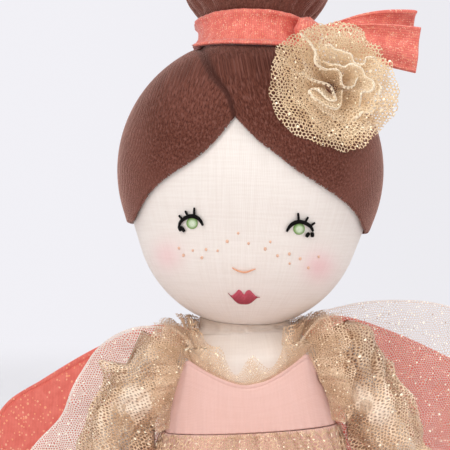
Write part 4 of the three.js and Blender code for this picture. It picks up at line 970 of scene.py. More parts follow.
def make_topknot():
    """A ball on a tied neck: the neck's rows by height, then an ellipse, with gathers close to the tie."""
    a = ring(240)
    start = seat_on_head(a, TIED_RADIUS + 1.5, GAP + HAIR_CLOTH + 0.25)
    h_low = start + (BUN_WIDEST - start) * shares(70).T
    t = np.linspace(0, np.pi / 2, 40)[1:-1, None]
    h = np.vstack([h_low, BUN_WIDEST + (BUN_HEIGHT - BUN_WIDEST) * np.sin(t) + 0 * a])
    r = np.vstack([bun_radius(h_low), BUN_RADIUS * np.cos(t) + 0 * a])
    near = np.exp(-np.maximum(0, h - RIBBON_WIDTH - 1) / 6.0) * smooth((h - RIBBON_WIDTH + 0.5) / 3)
    pleat = np.abs(np.sin(a * 11 + 0.8 * np.sin(3 * a))) ** 0.7
    lumps = 0.35 * np.sin(2 * a + h / 9) + 0.25 * np.sin(3 * a - h / 6 + 1)
    r = r - 1.5 * near * (1 - pleat) + lumps * smooth((h - 14) / 12) * np.clip(r / BUN_RADIUS, 0, 1)
    piece = Piece("topknot_cover")
    # Painted light over the upper part of the bun.
    piece.closed(place(polar(r, a, h), TOPKNOT), mask=0.28j * smooth((h - 9) / 4))
    made = piece.make(VELOUR, "velour", "head", ["topknot"])


def clear_of_hair(angle, h, cover):
    """The least radius about the topknot's axis at which a point leaves the head grown by a cover."""
    r = np.linspace(12, 34, 110)
    inside = head_gauge(place(polar(r, angle[..., None], h[..., None]), INTO_HEAD), cover) < 1
    return np.where(inside.any(-1), r[last_of(inside)] + 0.1, 0)


RIBBON_FOLDS = [  # how thick the gathered band is at each share of its width
    (0, 1.3), (0.05, 2.1), (0.12, 2.3), (0.18, 1.6), (0.24, 1.4), (0.55, 1.1), (0.8, 1.5), (0.93, 2.1),
    (1.0, 1.4),
]


def make_ribbon_band():
    """A gathered band: drawn in at the middle, a rolled hem along each edge, fine creases round it.

    It dips in front, where it lies forward on the hair.
    """
    a, share = ring(300).T, shares(40)
    front = np.maximum(0, np.cos(a))
    crease = 0.10 * np.sin(a * 31 + 6 * share) + 0.14 * np.sin(a * 13 - 9 * share + 1)
    crease = crease + 0.08 * np.sin(47 * a + 3)
    crease = crease * (0.3 + np.abs(share - 0.5) * 1.4)
    h = share * (0.8 * RIBBON_WIDTH + 3.2 * front) - RIBBON_DIP * front**2.2 + 0.2 * np.sin(3 * a + 1) * share
    seat = seat_on_head(a[:, 0], TIED_RADIUS + 2.2, GAP + HAIR_CLOTH + 0.35)[:, None]
    seat = np.where(np.cos(a) < 0, np.maximum(seat, min(seat[75, 0], seat[225, 0])), seat)
    forward = smooth((front - 0.35) / 0.4)
    h = np.maximum(h, (seat + 0.35 + share * 1.5) * (1 - forward) + (h - 0.6) * forward)
    beside = np.abs(np.angle(np.exp(1j * a)))
    lean = 1.4 * smooth((beside - 1.1) / 0.45) - 0.5 * bell(beside - 0.9, 0.35)
    h = h + lean * (1 - 0.5 * share)
    inner = np.maximum(bun_radius(h) + 2.4 * GAP, clear_of_hair(a, h, GAP + HAIR_CLOTH + 0.3))
    outer = inner + 0.6 * GAP + 0.95 * through(RIBBON_FOLDS, share) + crease
    cloth = cloth_lengths(polar(outer, a, h), rows=True)[..., ::-1]
    walls = (polar(r, a, h) for r in (outer, inner))
    piece = Piece("ribbon_wrap")
    piece.panel(*(place(wall, TOPKNOT) for wall in walls), cloth, around=True)
    made = piece.make(CORAL_RIBBON, "coral_ribbon", "head", ["ribbon_band"])


KNOT_RADIUS = TIED_RADIUS + 5.2
KNOT_ROOT = polar(KNOT_RADIUS, math.radians(KNOT_TURN), RIBBON_WIDTH * 0.5 - 1.6)
KNOT_SIZE = (5.6, 3.4, 5.3)  # half sizes along the band, out of it and up
TAIL_LENGTH = 30.0


def make_ribbon_knot():
    """A soft knot: a flattened ball whose folds run round it, deeper at the waist."""
    t = np.linspace(0.05, np.pi - 0.05, 48)[:, None]
    a = ring(64)
    fold = 1 - 0.09 * np.abs(np.sin(4 * t + 0.5 * np.sin(a))) - 0.05 * np.cos(3 * a)
    ball = joined(np.sin(t) * np.cos(a), np.sin(t) * np.sin(a), np.cos(t)) * KNOT_SIZE * fold[..., None]
    points = place(ball, shift(*(KNOT_ROOT * (1.02, 1.02, 1))) @ turn("Z", KNOT_TURN))
    r = np.hypot(points[..., 0], points[..., 1])
    least = bun_radius(points[..., 2]) + 3 * GAP + 2.1
    points[..., :2] *= np.maximum(1, least / np.maximum(r, 1e-3))[..., None]
    piece = Piece("ribbon_tie")
    piece.closed(place(points, TOPKNOT))
    made = piece.make(CORAL_RIBBON, "coral_ribbon", "head", ["ribbon_knot"])


TAIL_DROOP = 0.6


def make_ribbon_tail(name, node, run, width, twist, back, folds):
    """A flat strip along a line: it widens from the knot, turns about its run, and folds lengthways."""
    share = shares(70).T
    v = np.linspace(-1, 1, 60)[None, :]
    along = np.array(run) / np.linalg.norm(run)
    up = np.array([0, 0, 1.0]) - along * along[2]
    up = up / np.linalg.norm(up)
    side = np.cross(along, up)
    half = width / 2 * (0.45 + 0.55 * smooth(share * 1.25)) * (1 - 0.03 * np.cos(9 * share))
    angle = twist * share
    across = up * np.cos(angle)[..., None] + side * np.sin(angle)[..., None]
    over = side * np.cos(angle)[..., None] - up * np.sin(angle)[..., None]
    middle = KNOT_ROOT + (2, back, back * 0.5) + along * (3.2 + share * TAIL_LENGTH)[..., None]
    middle[..., 2] -= TAIL_DROOP * share**2
    wave = folds[0] * np.cos(folds[1] * v + folds[2] + 1.2 * share) * (1.15 - 0.45 * share)
    thick = 0.62 * rolled(1 - np.abs(v), 0.12) + 0.06
    hem = 0.55 + 0.45 * rolled((1 - share) * TAIL_LENGTH, 0.8)
    thick = thick * hem * (1 + 0.25 * bell(np.abs(v) - 0.9, 0.05))
    flat = middle + across * (v * half * (1 - 0.06 * np.abs(wave)))[..., None]
    faces = (flat + over * (wave + t)[..., None] for t in (thick, -thick))
    piece = Piece(name)
    cloth = joined(v * width / 2 + 40, share * (TAIL_LENGTH + 1))
    piece.panel(*(place(face, TOPKNOT) for face in faces), cloth)
    made = piece.make(CORAL_RIBBON, "coral_ribbon", "head", [node])


make_topknot()
make_ribbon_band()
make_ribbon_knot()
make_ribbon_tail(
    "ribbon_tail_upper", "upper_ribbon_tail", (1, 0.25, 0.22), 11.9, 1.12, 3.2, (1.3, 2.6, 0.5)
)
make_ribbon_tail(
    "ribbon_tail_lower", "lower_ribbon_tail", (1, 0.15, -0.05), 14.5, 0.1, 0, (0.9, 4.6, 0.3)
)


# Face

def cord_on_face(piece, points, width, taper=0.45, low=GAP, high=0.9):
    """A raised stitch along a line seen from the front: an oval section that thins towards its ends."""
    line = line_through(points, max(12, 6 * len(points)))
    tangent = np.gradient(line, axis=0)
    tangent /= np.linalg.norm(tangent, axis=1, keepdims=True)
    normal = np.stack([-tangent[:, 1], tangent[:, 0]], 1)
    share = np.linspace(-1, 1, len(line))
    half = width / 2 * (1 - taper * np.abs(share) ** 3)
    b = np.linspace(0, 2 * np.pi, 14, endpoint=False)
    x = line[:, :1] + normal[:, :1] * half[:, None] * np.cos(b)
    z = line[:, 1:] + normal[:, 1:] * half[:, None] * np.cos(b)
    tall = (high - low) / 2 * (1 - 0.4 * np.abs(share[:, None]) ** 3)
    piece.closed(place(raised(x, z, low + tall + tall * np.sin(b)), HEAD))


EYES = {
    -1: {
        "lid": [(-19.97, 25.27), (-19.48, 26.6), (-18.28, 27.81), (-16.36, 28.6), (-14.5, 28.26),
                (-13.43, 27.36), (-12.63, 25.94)],
        "lashes": [
            ([(-18.85, 27.5), (-20.05, 28.7)], 0.62), ([(-17.36, 28.6), (-18.07, 30.13)], 0.62),
            ([(-15.36, 28.6), (-15.37, 31.18)], 0.66), ([(-19.9, 25.6), (-19.3, 24.0)], 1.0),
            ([(-19.3, 25.3), (-18.1, 23.9)], 1.0),
        ],
        "iris": (-15.94, 26.5),
    },
    1: {
        "lid": [(12.18, 25.22), (12.97, 26.68), (14.25, 27.86), (15.86, 28.34), (17.81, 27.9),
                (19.28, 26.95), (20.08, 25.6)],
        "lashes": [
            ([(15.61, 28.3), (15.36, 30.92)], 0.66), ([(17.44, 28.1), (18.4, 29.87)], 0.62),
            ([(19.03, 27.1), (20.5, 28.28)], 0.62), ([(18.9, 25.2), (17.99, 23.9)], 1.0),
            ([(19.8, 25.4), (19.9, 23.9)], 1.0),
        ],
        "iris": (15.83, 26.2),
    },
}
IRIS_RADIUS = 1.72


def satin_patch(piece, x, z, rise, mask):
    """Satin stitch seen from the front: a low mound over a closed outline, rows running outwards."""
    cloth = joined(np.append(x, x[:, :1], 1) + 30, np.append(z, z[:, :1], 1))
    piece.grid(place(raised(x, z, rise), HEAD), cloth, columns=True, caps=(True, False), mask=mask)


def make_eye(side, side_name):
    """Black floss for the lid and lashes, and a green disc whose middle is paler."""
    eye = EYES[side]
    lashes = Piece(f"{side_name}_lash_stitches")
    cord_on_face(lashes, eye["lid"], 1.2, 0.5)
    for points, width in eye["lashes"]:
        cord_on_face(lashes, points, width * 1.12, 0.35, high=0.85)
    lashes.make(BLACK_THREAD, "black_thread", "head", [f"{side_name}_eye_lashes"])
    iris = Piece(f"{side_name}_iris_stitches")
    r = np.linspace(0.04, 1, 16)[:, None]
    a = ring(48)
    ix, iz = eye["iris"]
    x, z = ix + IRIS_RADIUS * r * np.cos(a), iz + IRIS_RADIUS * r * np.sin(a)
    rise = 0.45 * np.sqrt(np.clip(1.02 - r**2, 0, 1)) + 0.02 * np.sin(12 * a)
    pale = bell(((x - ix - 0.1) / 1.15) ** 2 + ((z - iz + 0.1) / 1.15) ** 2, 1)
    satin_patch(iris, x, z, GAP - 0.2 + rise, 1 - pale)
    iris.make(GREEN_THREAD, "green_thread", "head", [f"{side_name}_eye_iris"])


MOUTH_ENDS = (-4.6, 5.02)
LIP_STITCH = 0.42


def lip_edges(x):
    """Upper and lower edge of the mouth at each place across it."""
    upper = through([
        (-4.62, 6.15), (-3.5, 5.35), (-2.5, 6.1), (-1.4, 7.25), (-0.5, 6.75), (0.2, 5.85), (0.8, 6.75),
        (1.7, 7.3), (2.9, 6.4), (4.0, 5.4), (5.04, 5.3),
    ], x)
    lower = through([
        (-4.62, 5.95), (-3.6, 4.85), (-2.9, 4.1), (-1.7, 3.1), (0.17, 2.75), (2.24, 3.2), (3.4, 4.2),
        (4.2, 4.95), (5.04, 5.1),
    ], x)
    return upper, lower


def make_mouth():
    """Satin stitches run up and down between the two edges, higher in the middle, with fine ridges."""
    first, last = MOUTH_ENDS
    x = np.linspace(first, last, 160)[:, None]
    upper, lower = lip_edges(x)
    v = shares(26)
    z = lower + (upper - lower) * v
    x = x + 0 * z
    dome = np.sqrt(np.clip(1 - (2 * v - 1) ** 2, 0, 1)) * smooth((upper - lower) / 1.2)
    ridges = 0.05 * np.sin(x * 2 * np.pi / LIP_STITCH)
    outer, inner = raised(x, z, 0.12 + (0.5 + ridges) * dome), raised(x, z, 0.04 + 0 * z)
    corner = np.clip(1 - np.minimum(x - first, last - x) / 1.6, 0, 1)
    tone = np.clip(0.8 * corner + 0.25 * (1 - dome) + 0.9 * (1 - v) ** 0.8 - 0.1, 0, 1)
    piece = Piece("mouth_stitches")
    piece.panel(place(outer, HEAD), place(inner, HEAD), joined(x + 20, z), mask=tone)
    piece.make(RASPBERRY_THREAD, "raspberry_thread", "head", ["mouth"])


FRECKLES = [
    (-19.82, 18.9), (-18.35, 16.81), (-15.53, 18.39), (-12.72, 16.37), (-11.52, 18.88), (-8.03, 18.66),
    (-5.26, 21.58), (-2.09, 24.15), (1.07, 21.27), (6.07, 19.85), (7.49, 22.02), (9.79, 17.98),
    (13.29, 18.66), (13.5, 15.77), (16.56, 17.35), (19.14, 14.7), (22.08, 18.12),
]


NOSE = [(-3.6, 13.85), (-1.92, 13.0), (0.27, 12.6), (2.07, 13.2), (3.45, 13.8)]


def make_nose_and_freckles():
    """One curved stitch for the nose, and a small round mound of stitches for each freckle."""
    nose = Piece("nose_thread")
    cord_on_face(nose, NOSE, 0.55, 0.5, high=0.7)
    nose.make(ORANGE_THREAD, "orange_thread", "head", ["nose_stitch"])
    dots = Piece("freckle_stitches")
    r = np.linspace(0.1, 1, 5)[:, None]
    a = ring(10)
    for i, (fx, fz) in enumerate(FRECKLES):
        size = 0.42 + 0.06 * math.sin(i * 2.3)
        x, z = fx + size * r * np.cos(a), fz + size * 1.15 * r * np.sin(a)
        satin_patch(dots, x, z, 0.32 * np.sqrt(np.clip(1.01 - r**2, 0, 1)) + 0 * a, 0.2)
    dots.make(FRECKLE_THREAD, "orange_thread", "head")


for side, side_name in SIDES:
    make_eye(side, side_name)
make_mouth()
make_nose_and_freckles()


# Flower

def crown_front(x, z, cover):
    """How far the crown's surface lies in front of the head's middle plane, or a large drop beside it."""
    level = np.sqrt(np.clip(1 - ((z - CROWN_HEIGHT) / (CROWN_RADIUS + cover)) ** 2, 0, 1))
    aside = np.abs(x) / np.maximum((CROWN_RADIUS + cover) * level, 1e-3)
    share = np.clip(1 - aside**HEAD_SQUARENESS, 0, 1) ** (1 / HEAD_SQUARENESS)
    return np.where(aside < 1, (CROWN_RADIUS * HEAD_DEPTH + cover) * level * share, -1000)


FLOWER_DEPTH = float(crown_front(np.array(FLOWER_X), np.array(FLOWER_HEIGHT), GAP + HAIR_CLOTH))
FLOWER = shift(FLOWER_X, -FLOWER_DEPTH, FLOWER_HEIGHT) @ turn("X", FLOWER_LEAN) @ turn("Z", FLOWER_TURN)


def seat_on_hair(points, cover):
    """Petal points pushed forward along the flower's axis until they clear the hair."""
    seated = points.copy()
    for step in (1.0, 0.25, 0.06):
        for _ in range(40):
            on_head = place(seated, FLOWER)
            sunk = -on_head[..., 1] < crown_front(on_head[..., 0], on_head[..., 2], cover)
            seated[..., 1] -= step * sunk
        seated[..., 1] += step * 0.999 * (seated[..., 1] < points[..., 1] - 1e-6)
    return np.minimum(seated, np.where([False, True, False], points, 1e9))


FLOWER_OFFSET = (-1.9, 0, -1.0)  # the petals hang a little to one side of their stitched middle
FLOWER_HEART = 2.2  # the radius at which the discs begin
FOLD_HEIGHTS = (8.2, 7.4, 7.0, 8.6, 6.0)
FOLD_TURN = 0.9  # the share of a fold's height at which its edge turns over

# Folded edges that show in the middle of the flower, seen along its axis
FLOWER_FOLDS = [
    [(-12.0, 13.5), (-10, 7.6), (-8.1, 2.9), (-1.1, 0.6), (0.5, -2.5), (4, -1.7), (5.9, 2.2), (5.2, 5.0)],
    [(-11.2, 1.4), (-8.8, -1.7), (-3.4, -4), (-1.1, -7.1), (-4.2, -7.3), (-8, -4.4), (-10, -5.6), (-5, -9.5),
     (-1.1, -10.6), (0.9, -6.4), (1.2, -2.4)],
    [(-8, 7.6), (-4.2, 9.9), (1.2, 8.4), (6.7, 6), (9.8, 9.4), (13.5, 8.9)],
    [(-5.4, 5.2), (-2.0, 3.4), (2.6, 4.2), (7.2, 2.4), (9.5, -1.0), (6.2, -4.4), (7.0, -8.2)],
    [(9.5, 5.5), (12.6, 2.0), (12.2, -3.5), (9.0, -8.5), (4.0, -11.5)],
]


def flower_sheet(piece, points, cloth, rows, tone):
    """Adds net to the flower, moved to its place and seated on the hair."""
    seated = seat_on_hair(points + FLOWER_OFFSET, GAP + HAIR_CLOTH + 0.7)
    piece.grid(place(place(seated, FLOWER), HEAD), cloth, rows=rows, mask=tone)


def make_petal_disc(piece, reach, base, rise, waves, depth, turned):
    """A gathered net disc: its rim waves in and out from the hair, and small pleats run outwards."""
    a, share = ring(300).T, shares(34)
    uneven = 0.04 * np.sin(2 * a + turned) + 0.035 * np.sin(waves * a + 1 + turned)
    rim = reach * (1 + uneven + 0.015 * np.sin(17 * a))
    r = FLOWER_HEART + (rim - FLOWER_HEART) * share
    wave = np.sin(a * waves + turned + 0.9 * np.sin(2 * a))
    pleat = 0.3 * np.sin(a * 31 + 3 * np.sin(a)) * np.exp(-share * 2.5)
    pleat = pleat + 0.25 * np.sin(a * 19 + 5 * share) * share
    lift = base + rise * share**1.4 + depth * share**1.2 * (1 + wave) + pleat + 0.3
    cloth = joined(r * np.cos(a), r * np.sin(a)) * 1.1 + 30 * turned
    cloth = np.concatenate([cloth, cloth[:1]])
    # Painted shade in the middle of the disc and in the valleys of its waves and pleats.
    shade = 0.42 * bell(share, 0.4) + 0.26 * smooth(-wave) * share + 0.2 * smooth(-pleat * 3) * (1 - share)
    points = joined(r * np.cos(a), -lift, r * np.sin(a))
    flower_sheet(piece, points, cloth, True, 0.3 * np.exp(-share * 5) + 1j * shade)


def make_petal_fold(piece, edge, seed, rise):
    """A strip that stands up from near the middle to a folded edge, which is doubled and curls over."""
    line = line_through(edge, 150)
    share = shares(150).T
    normal = np.gradient(line, axis=0)
    normal = np.stack([normal[:, 1], -normal[:, 0]], 1)
    normal /= np.linalg.norm(normal, axis=1, keepdims=True)
    v = shares(22)
    over = np.clip((v - FOLD_TURN) / (1 - FOLD_TURN), 0, 1)
    up = np.clip(v / FOLD_TURN, 0, 1)
    pull = 0.3 + 0.7 * up**0.85
    flutter = 0.45 * np.sin(share * 19 + seed) * up + 0.2 * np.sin(share * 43 + seed) * up
    sway = flutter - 0.55 * np.sin(over * np.pi) + 0.15 * over
    x, z = (line[:, k:k + 1] * pull + normal[:, k:k + 1] * sway for k in (0, 1))
    ends = smooth(share * 6) * smooth((1 - share) * 6)
    height = 2.4 + rise * (0.55 + 0.45 * ends) * np.sin(up * np.pi / 2)
    height = height + 0.35 * np.sin(share * 25 + seed) * up - 0.8 * over**2
    cloth = joined(share * 40 + 60 * seed, v * (rise + 4))
    # Closer strands along the folded edge, and painted shade towards the foot of the strip.
    tone = 0.1 + 0.6 * smooth((v - 0.8) / 0.1) + 0.55j * (1 - smooth(up * 1.15))
    flower_sheet(piece, joined(x, -height, z), cloth, False, tone + 0 * share)


def make_flower():
    """Two outer discs, two middle ones that rise further, and the folds that stand up in the middle."""
    outer = Piece("flower_outer_net")
    make_petal_disc(outer, FLOWER_RADIUS, 0.3, 1.2, 5, 1.0, 0.0)
    make_petal_disc(outer, FLOWER_RADIUS * 0.93, 0.8, 2.4, 6, 1.5, 2.0)
    middle = Piece("flower_middle_net")
    make_petal_disc(middle, FLOWER_RADIUS * 0.84, 1.4, 4.4, 7, 2.4, 4.0)
    make_petal_disc(middle, FLOWER_RADIUS * 0.66, 1.8, 5.2, 5, 2.4, 5.0)
    inner = Piece("flower_inner_net")
    for i, (edge, rise) in enumerate(zip(FLOWER_FOLDS, FOLD_HEIGHTS)):
        make_petal_fold(inner, edge, 1.0 + i, rise)
    nodes = ("flower_outer_petals", "flower_middle_petals", "flower_inner_petals")
    flats = ((0.13, 0.022), (0.11, 0.017), (0.13, 0.012))
    for piece, node, flat in zip((outer, middle, inner), nodes, flats):
        made = piece.make(GOLD_TULLE, "gold_tulle", "head", [node])


# Body

FAR = 1e3
THIGH_REACH = 32.0
THIGH_FAN = (158, 180, 270)  # degrees through which a leg swings, about its hip
LEG_ROOM = 12.4  # how far the torso keeps from the middle of a thigh and of a shoulder ball
ARM_ROOM = 7.9


def hip_place(side):
    return shift(side * HIP[0], HIP[1], HIP[2]) @ turn("Z", side * LEG_SPREAD)


def leg_room_gauge(points):
    """Distance from the nearer thigh's fan of positions, which lies in the plane that the leg swings in."""
    near = np.full(points.shape[:-1], FAR)
    fan = [(0.0, 0.0)] + [
        (THIGH_REACH * math.cos(math.radians(t)), THIGH_REACH * math.sin(math.radians(t))) for t in THIGH_FAN
    ]
    for side, _ in SIDES:
        p = place(points, np.linalg.inv(hip_place(side)))
        yz = p[..., 1:]
        inside = np.ones(yz.shape[:-1], bool)
        edge = np.full(yz.shape[:-1], FAR)
        for (ay, az), (by, bz) in zip(fan, fan[1:] + fan[:1]):
            ey, ez = by - ay, bz - az
            dy, dz = yz[..., 0] - ay, yz[..., 1] - az
            t = np.clip((dy * ey + dz * ez) / (ey * ey + ez * ez), 0, 1)
            edge = np.minimum(edge, np.hypot(dy - t * ey, dz - t * ez))
            inside &= ey * dz - ez * dy >= 0
        near = np.minimum(near, np.hypot(p[..., 0], np.where(inside, 0, edge)))
    return near


def make_torso():
    """The torso's rows by height, pressed in where the thighs and upper arms pass."""
    a = ring(200)
    z = np.concatenate([np.linspace(-1.3, 62, 110), np.linspace(62.4, NECK_BASE - 0.03, 12), [NECK_BASE]])
    z = z[:, None]
    full = torso_point(a, z, 0)
    slope = smooth((z - 59) / 8.5)
    full[..., 1] = full[..., 1] * (1 - 0.26 * slope) + CHIN_ROOM * slope
    axis = joined(torso_shift(z), 0 * a, z)
    reach = np.full(full.shape[:-1], 1.0)
    for f in np.linspace(0.3, 1, 36)[::-1]:
        trial = axis + (full - axis) * f
        arms = np.minimum(*(
            np.linalg.norm(trial - (side * SHOULDER[0], 0, SHOULDER[1]), axis=-1) for side, _ in SIDES
        ))
        pressed = (leg_room_gauge(place(trial, BODY)) < LEG_ROOM) | (arms < ARM_ROOM)
        reach = np.where(pressed & (reach >= f - 1e-6), f - 0.02, reach)
    points = place(axis + (full - axis) * reach[..., None], BODY)
    points[..., 2] = np.maximum(points[..., 2], 0)
    piece = Piece("torso_cover")
    # Painted shadow of the head, over the top of the chest.
    piece.closed(points, mask=0.28j * smooth((z - 49) / 17) + 0 * a)
    made = piece.make(LINEN, "linen", "torso", ["torso"])


def under_head(x, y, cover, nods=(0,)):
    """Body-frame height at which a plumb line first meets the head grown by a cover, at any of its nods."""
    z = np.linspace(62, 92, 300)
    line = joined(x[..., None], y[..., None], z)
    lowest = np.full(line.shape[:-2], FAR)
    for nod in nods:
        met = head_gauge(place(line, np.linalg.inv(head_at(nod)) @ BODY), cover) < 1
        lowest = np.minimum(lowest, np.where(met.any(-1), z[np.argmax(met, axis=-1)], FAR))
    return lowest


NECK_SEAM_SIZE = (15.0, 9.62)
NECK_DEPTH = 8.6


def make_neck():
    """A stem whose top is hollowed to the head; soft creases run up it from the dress."""
    a = ring(160)
    share = np.concatenate([[0, 0.004], np.linspace(0.03, 1, 38)])[:, None]
    seam = superellipse(a, *NECK_SEAM_SIZE, TORSO_SQUARENESS)
    stem = superellipse(a, NECK_RADIUS - 0.2, NECK_DEPTH, 2.0)
    r = seam + (stem - seam) * smooth(share * 2.2)
    crease = 0.3 * np.sin(9 * a + 2 * share) + 0.22 * np.sin(15 * a + 1)
    r = r + crease * smooth(share * 4) * smooth((1 - share) * 4)
    x, y = r * np.sin(a), -r * np.cos(a) + CHIN_ROOM
    base = NECK_BASE + NECK_SEAM
    z = base + (under_head(x[-1], y[-1], GAP) - base) * share
    piece = Piece("neck_cover")
    # Painted shadow of the chin, darker towards the top of the neck.
    piece.closed(place(joined(x, y, z), BODY), mask=1j * (0.32 + 0.3 * share) + 0 * a)
    made = piece.make(LINEN, "linen", nodes=["neck"])
    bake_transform(made)


ARM_LINE = {side: np.array([side * 23.5, 0, -44.0]) / ARM_LENGTH for side, _ in SIDES}


def along_arm(side, s, wide, deep, angle):
    """Points round the arm's line, in the frame of the shoulder: s down it, and an oval across."""
    across = np.cross([0, 1.0, 0], ARM_LINE[side])
    p = s[..., None] * ARM_LINE[side] + (wide * np.cos(angle))[..., None] * across
    p[..., 1] += deep * np.sin(angle)
    return p


ARM_ROWS = [  # down the arm, half width and half depth
    (0, 7.3, 7.3), (12.5, 6.57, 6.79), (31, 6.1, 6.0), (38, 5.4, 5.0), (45, 7.0, 5.18), (49.9, 6.6, 4.8),
]
WRIST = 38.0
ARM_ENDS = (7.3, 4.32)  # how far the shoulder and the hand are rounded past the arm's length


def down_limb(start, length, count, end):
    """Places down a stuffed limb: a rounded start, even steps, and a rounded end past its length."""
    return np.concatenate([start, np.linspace(0, length, count)[1:], length + end[1:]])[:, None]


def rounded_ends(s, length, start, end):
    """The share of a limb's size at each place: half ellipses before 0 and past its length."""
    share = np.sqrt(np.clip(1 - (np.minimum(s, 0) / start) ** 2, 0, 1))
    return share * np.sqrt(np.clip(1 - (np.maximum(s - length, 0) / end) ** 2, 0, 1))


def make_arm(side, side_name):
    """A stuffed arm that narrows to the wrist, and a mitten hand with a flat seam round its edge."""
    s = down_limb(-7.25 * np.cos(np.linspace(0, np.pi / 2, 24)), ARM_LENGTH, 80,
                  4.3 * np.sin(np.linspace(0, np.pi / 2, 20)))
    a = ring(72)
    wide, deep = sizes_at(ARM_ROWS, s)
    wrist = 1 - 0.03 * bell(s - WRIST, 2.0) * (1 + np.sin(5 * a))
    seam = 1 - 0.012 * bell(np.abs(np.cos(a)) - 1, 0.006)
    size = rounded_ends(s, ARM_LENGTH, *ARM_ENDS) * wrist * seam
    points = along_arm(side, s + 0 * a, wide * size, deep * size, a)
    piece = Piece(f"{side_name}_arm_cover")
    piece.closed(place(points, BODY @ shift(side * SHOULDER[0], 0, SHOULDER[1])))
    made = piece.make(LINEN, "linen", f"{side_name}_arm", [f"{side_name}_arm"])


SLEEVE_ROWS = [
    (-10, 7.3), (-6, 11.8), (3, 12.15), (13, 11.7), (18.5, 11.56), (25, 11.45), (31.2, 10.86), (35.7, 8.2),
    (38, 9.4),
]
ELASTIC = 35.7  # how far down the arm it draws the sleeve in
SLEEVE_LIMIT = 29.9  # how near the middle a sleeve may come where it lies beside the skirt
PAINTED_LIGHT_PATCHES = {-1: (9.5, 6.5, 0.55), 1: (15.0, 11.0, 0.36)}  # painted light: pale patches of packed net that stand in for the lit arm seen through it: down, long, round


def ridge(phase):
    """Round folds with sharp valleys between them: the absolute sine, about its mean."""
    return np.abs(np.sin(phase)) - 0.64


def make_sleeve_layer(piece, side, scale, fold, seed, length):
    """A gathered net tube: long folds swirl round it, deepest between the shoulder and the elastic."""
    s = np.linspace(-10, length, 110)[:, None]
    a = ring(240)
    r = through(SLEEVE_ROWS, s)
    swell = np.clip(np.sin(np.pi * np.clip((s + 12) / 50, 0, 1)), 0, 1) ** 0.6
    turned = side * a + 0.75 * np.sin(s / 9.5 + seed) + 0.22 * np.sin(s / 4.6 + 2 * a + seed)
    large = ridge(2 * (turned + 0.03 * s) + seed)
    second = ridge(3.5 * turned - 0.07 * s + 2 * seed)
    small = 0.22 * np.sin(13 * turned + 0.35 * s + seed) + 0.12 * np.sin(29 * a - 0.5 * s)
    hoops = np.sin(s * 0.42 + 1.7 * np.sin(a + seed)) * swell
    cuff = 0.6 * np.sin(16 * a + seed) * bell(s - ELASTIC, 2.5)
    outer = np.angle(np.exp(1j * a))
    dip = (side < 0) * bell(outer, 0.95) * (1 - smooth((s - 0.6) / 3.2))
    point = (side < 0) * bell(outer, 0.4) * bell(s - 4.2, 2.4)
    folds = (2.6 * large + 1.3 * second) * swell + small * (0.3 + swell) + 0.7 * hoops
    r = (r + fold * folds + cuff) * scale
    r = r * (1 - 0.46 * dip) + 2.2 * point
    r = np.maximum(r, 8.2 - 0.01 * s)
    points = along_arm(side, s + 0 * a, r, r * 0.96, a)
    above = SHOULDER[1] + points[..., 2] - WAIST
    limit = SLEEVE_LIMIT - SHOULDER[0] - 0.5 * np.maximum(0, above - 2)
    held = np.maximum(side * points[..., 0], limit)
    points[..., 0] = np.where(above < 9, side * held, points[..., 0])
    points = points + (side * SHOULDER[0], 0, SHOULDER[1])
    points = outside_torso(points, DRESS_CLOTH + 3 * GAP)
    cloth = cloth_lengths(points, columns=True) * (0.85, 1.35) + (300 * seed, 0)
    crest = smooth((large - 0.25) / 0.1) * 0.35 + smooth((second - 0.28) / 0.08) * 0.2
    # Painted light: pale, packed patches of net in place of the lit arm seen through it.
    low, reach, wide = PAINTED_LIGHT_PATCHES[side]
    middle = 1.5 * np.pi - side * 0.02 * (s - low)
    painted_light_patch = 0.9 * np.exp(-(((s - low) / reach) ** 4)) * np.exp(-(((a - middle) / wide) ** 4))
    inside = scale < 1
    tone = (crest * (1 - np.minimum(1, 1.5 * painted_light_patch)) + painted_light_patch * 0.76) * swell - inside * 0.14
    tone = tone + 0.5 * smooth((s - length + 0.6) / 0.5) + 0.2 * bell(s - ELASTIC, 1.2)
    # Painted shade in the valleys of the folds, in the notch, and over the whole inner layer.
    valley = smooth((-0.12 - large) / 0.4) * 0.5 + smooth((-0.2 - second) / 0.35) * 0.35
    shade = valley * swell * (1 - painted_light_patch) + 0.3 * dip + 0.4 * inside
    # Painted shade and closer strands at the top of the left sleeve.
    upper = (side > 0) * (1 - smooth((s - 4) / 9)) * (1 - painted_light_patch)
    shade = shade + 0.45 * upper
    tone = tone + 0.3 * upper * (1 - smooth((tone - 0.1) / 0.3))
    piece.grid(place(points, BODY), cloth, columns=True, mask=tone + 1j * shade)


def make_sleeve(side, side_name):
    """An outer net tube and a narrower one inside it, which follow the arm away from the shoulder."""
    piece = Piece(f"{side_name}_sleeve_net")
    make_sleeve_layer(piece, side, 1.0, 1.0, 1.0 + side, 38)
    make_sleeve_layer(piece, side, 0.9, 0.8, 3.4 + side, 36)
    made = piece.make(DRESS_TULLE, "gold_tulle", nodes=[f"{side_name}_sleeve"])
    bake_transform(made)


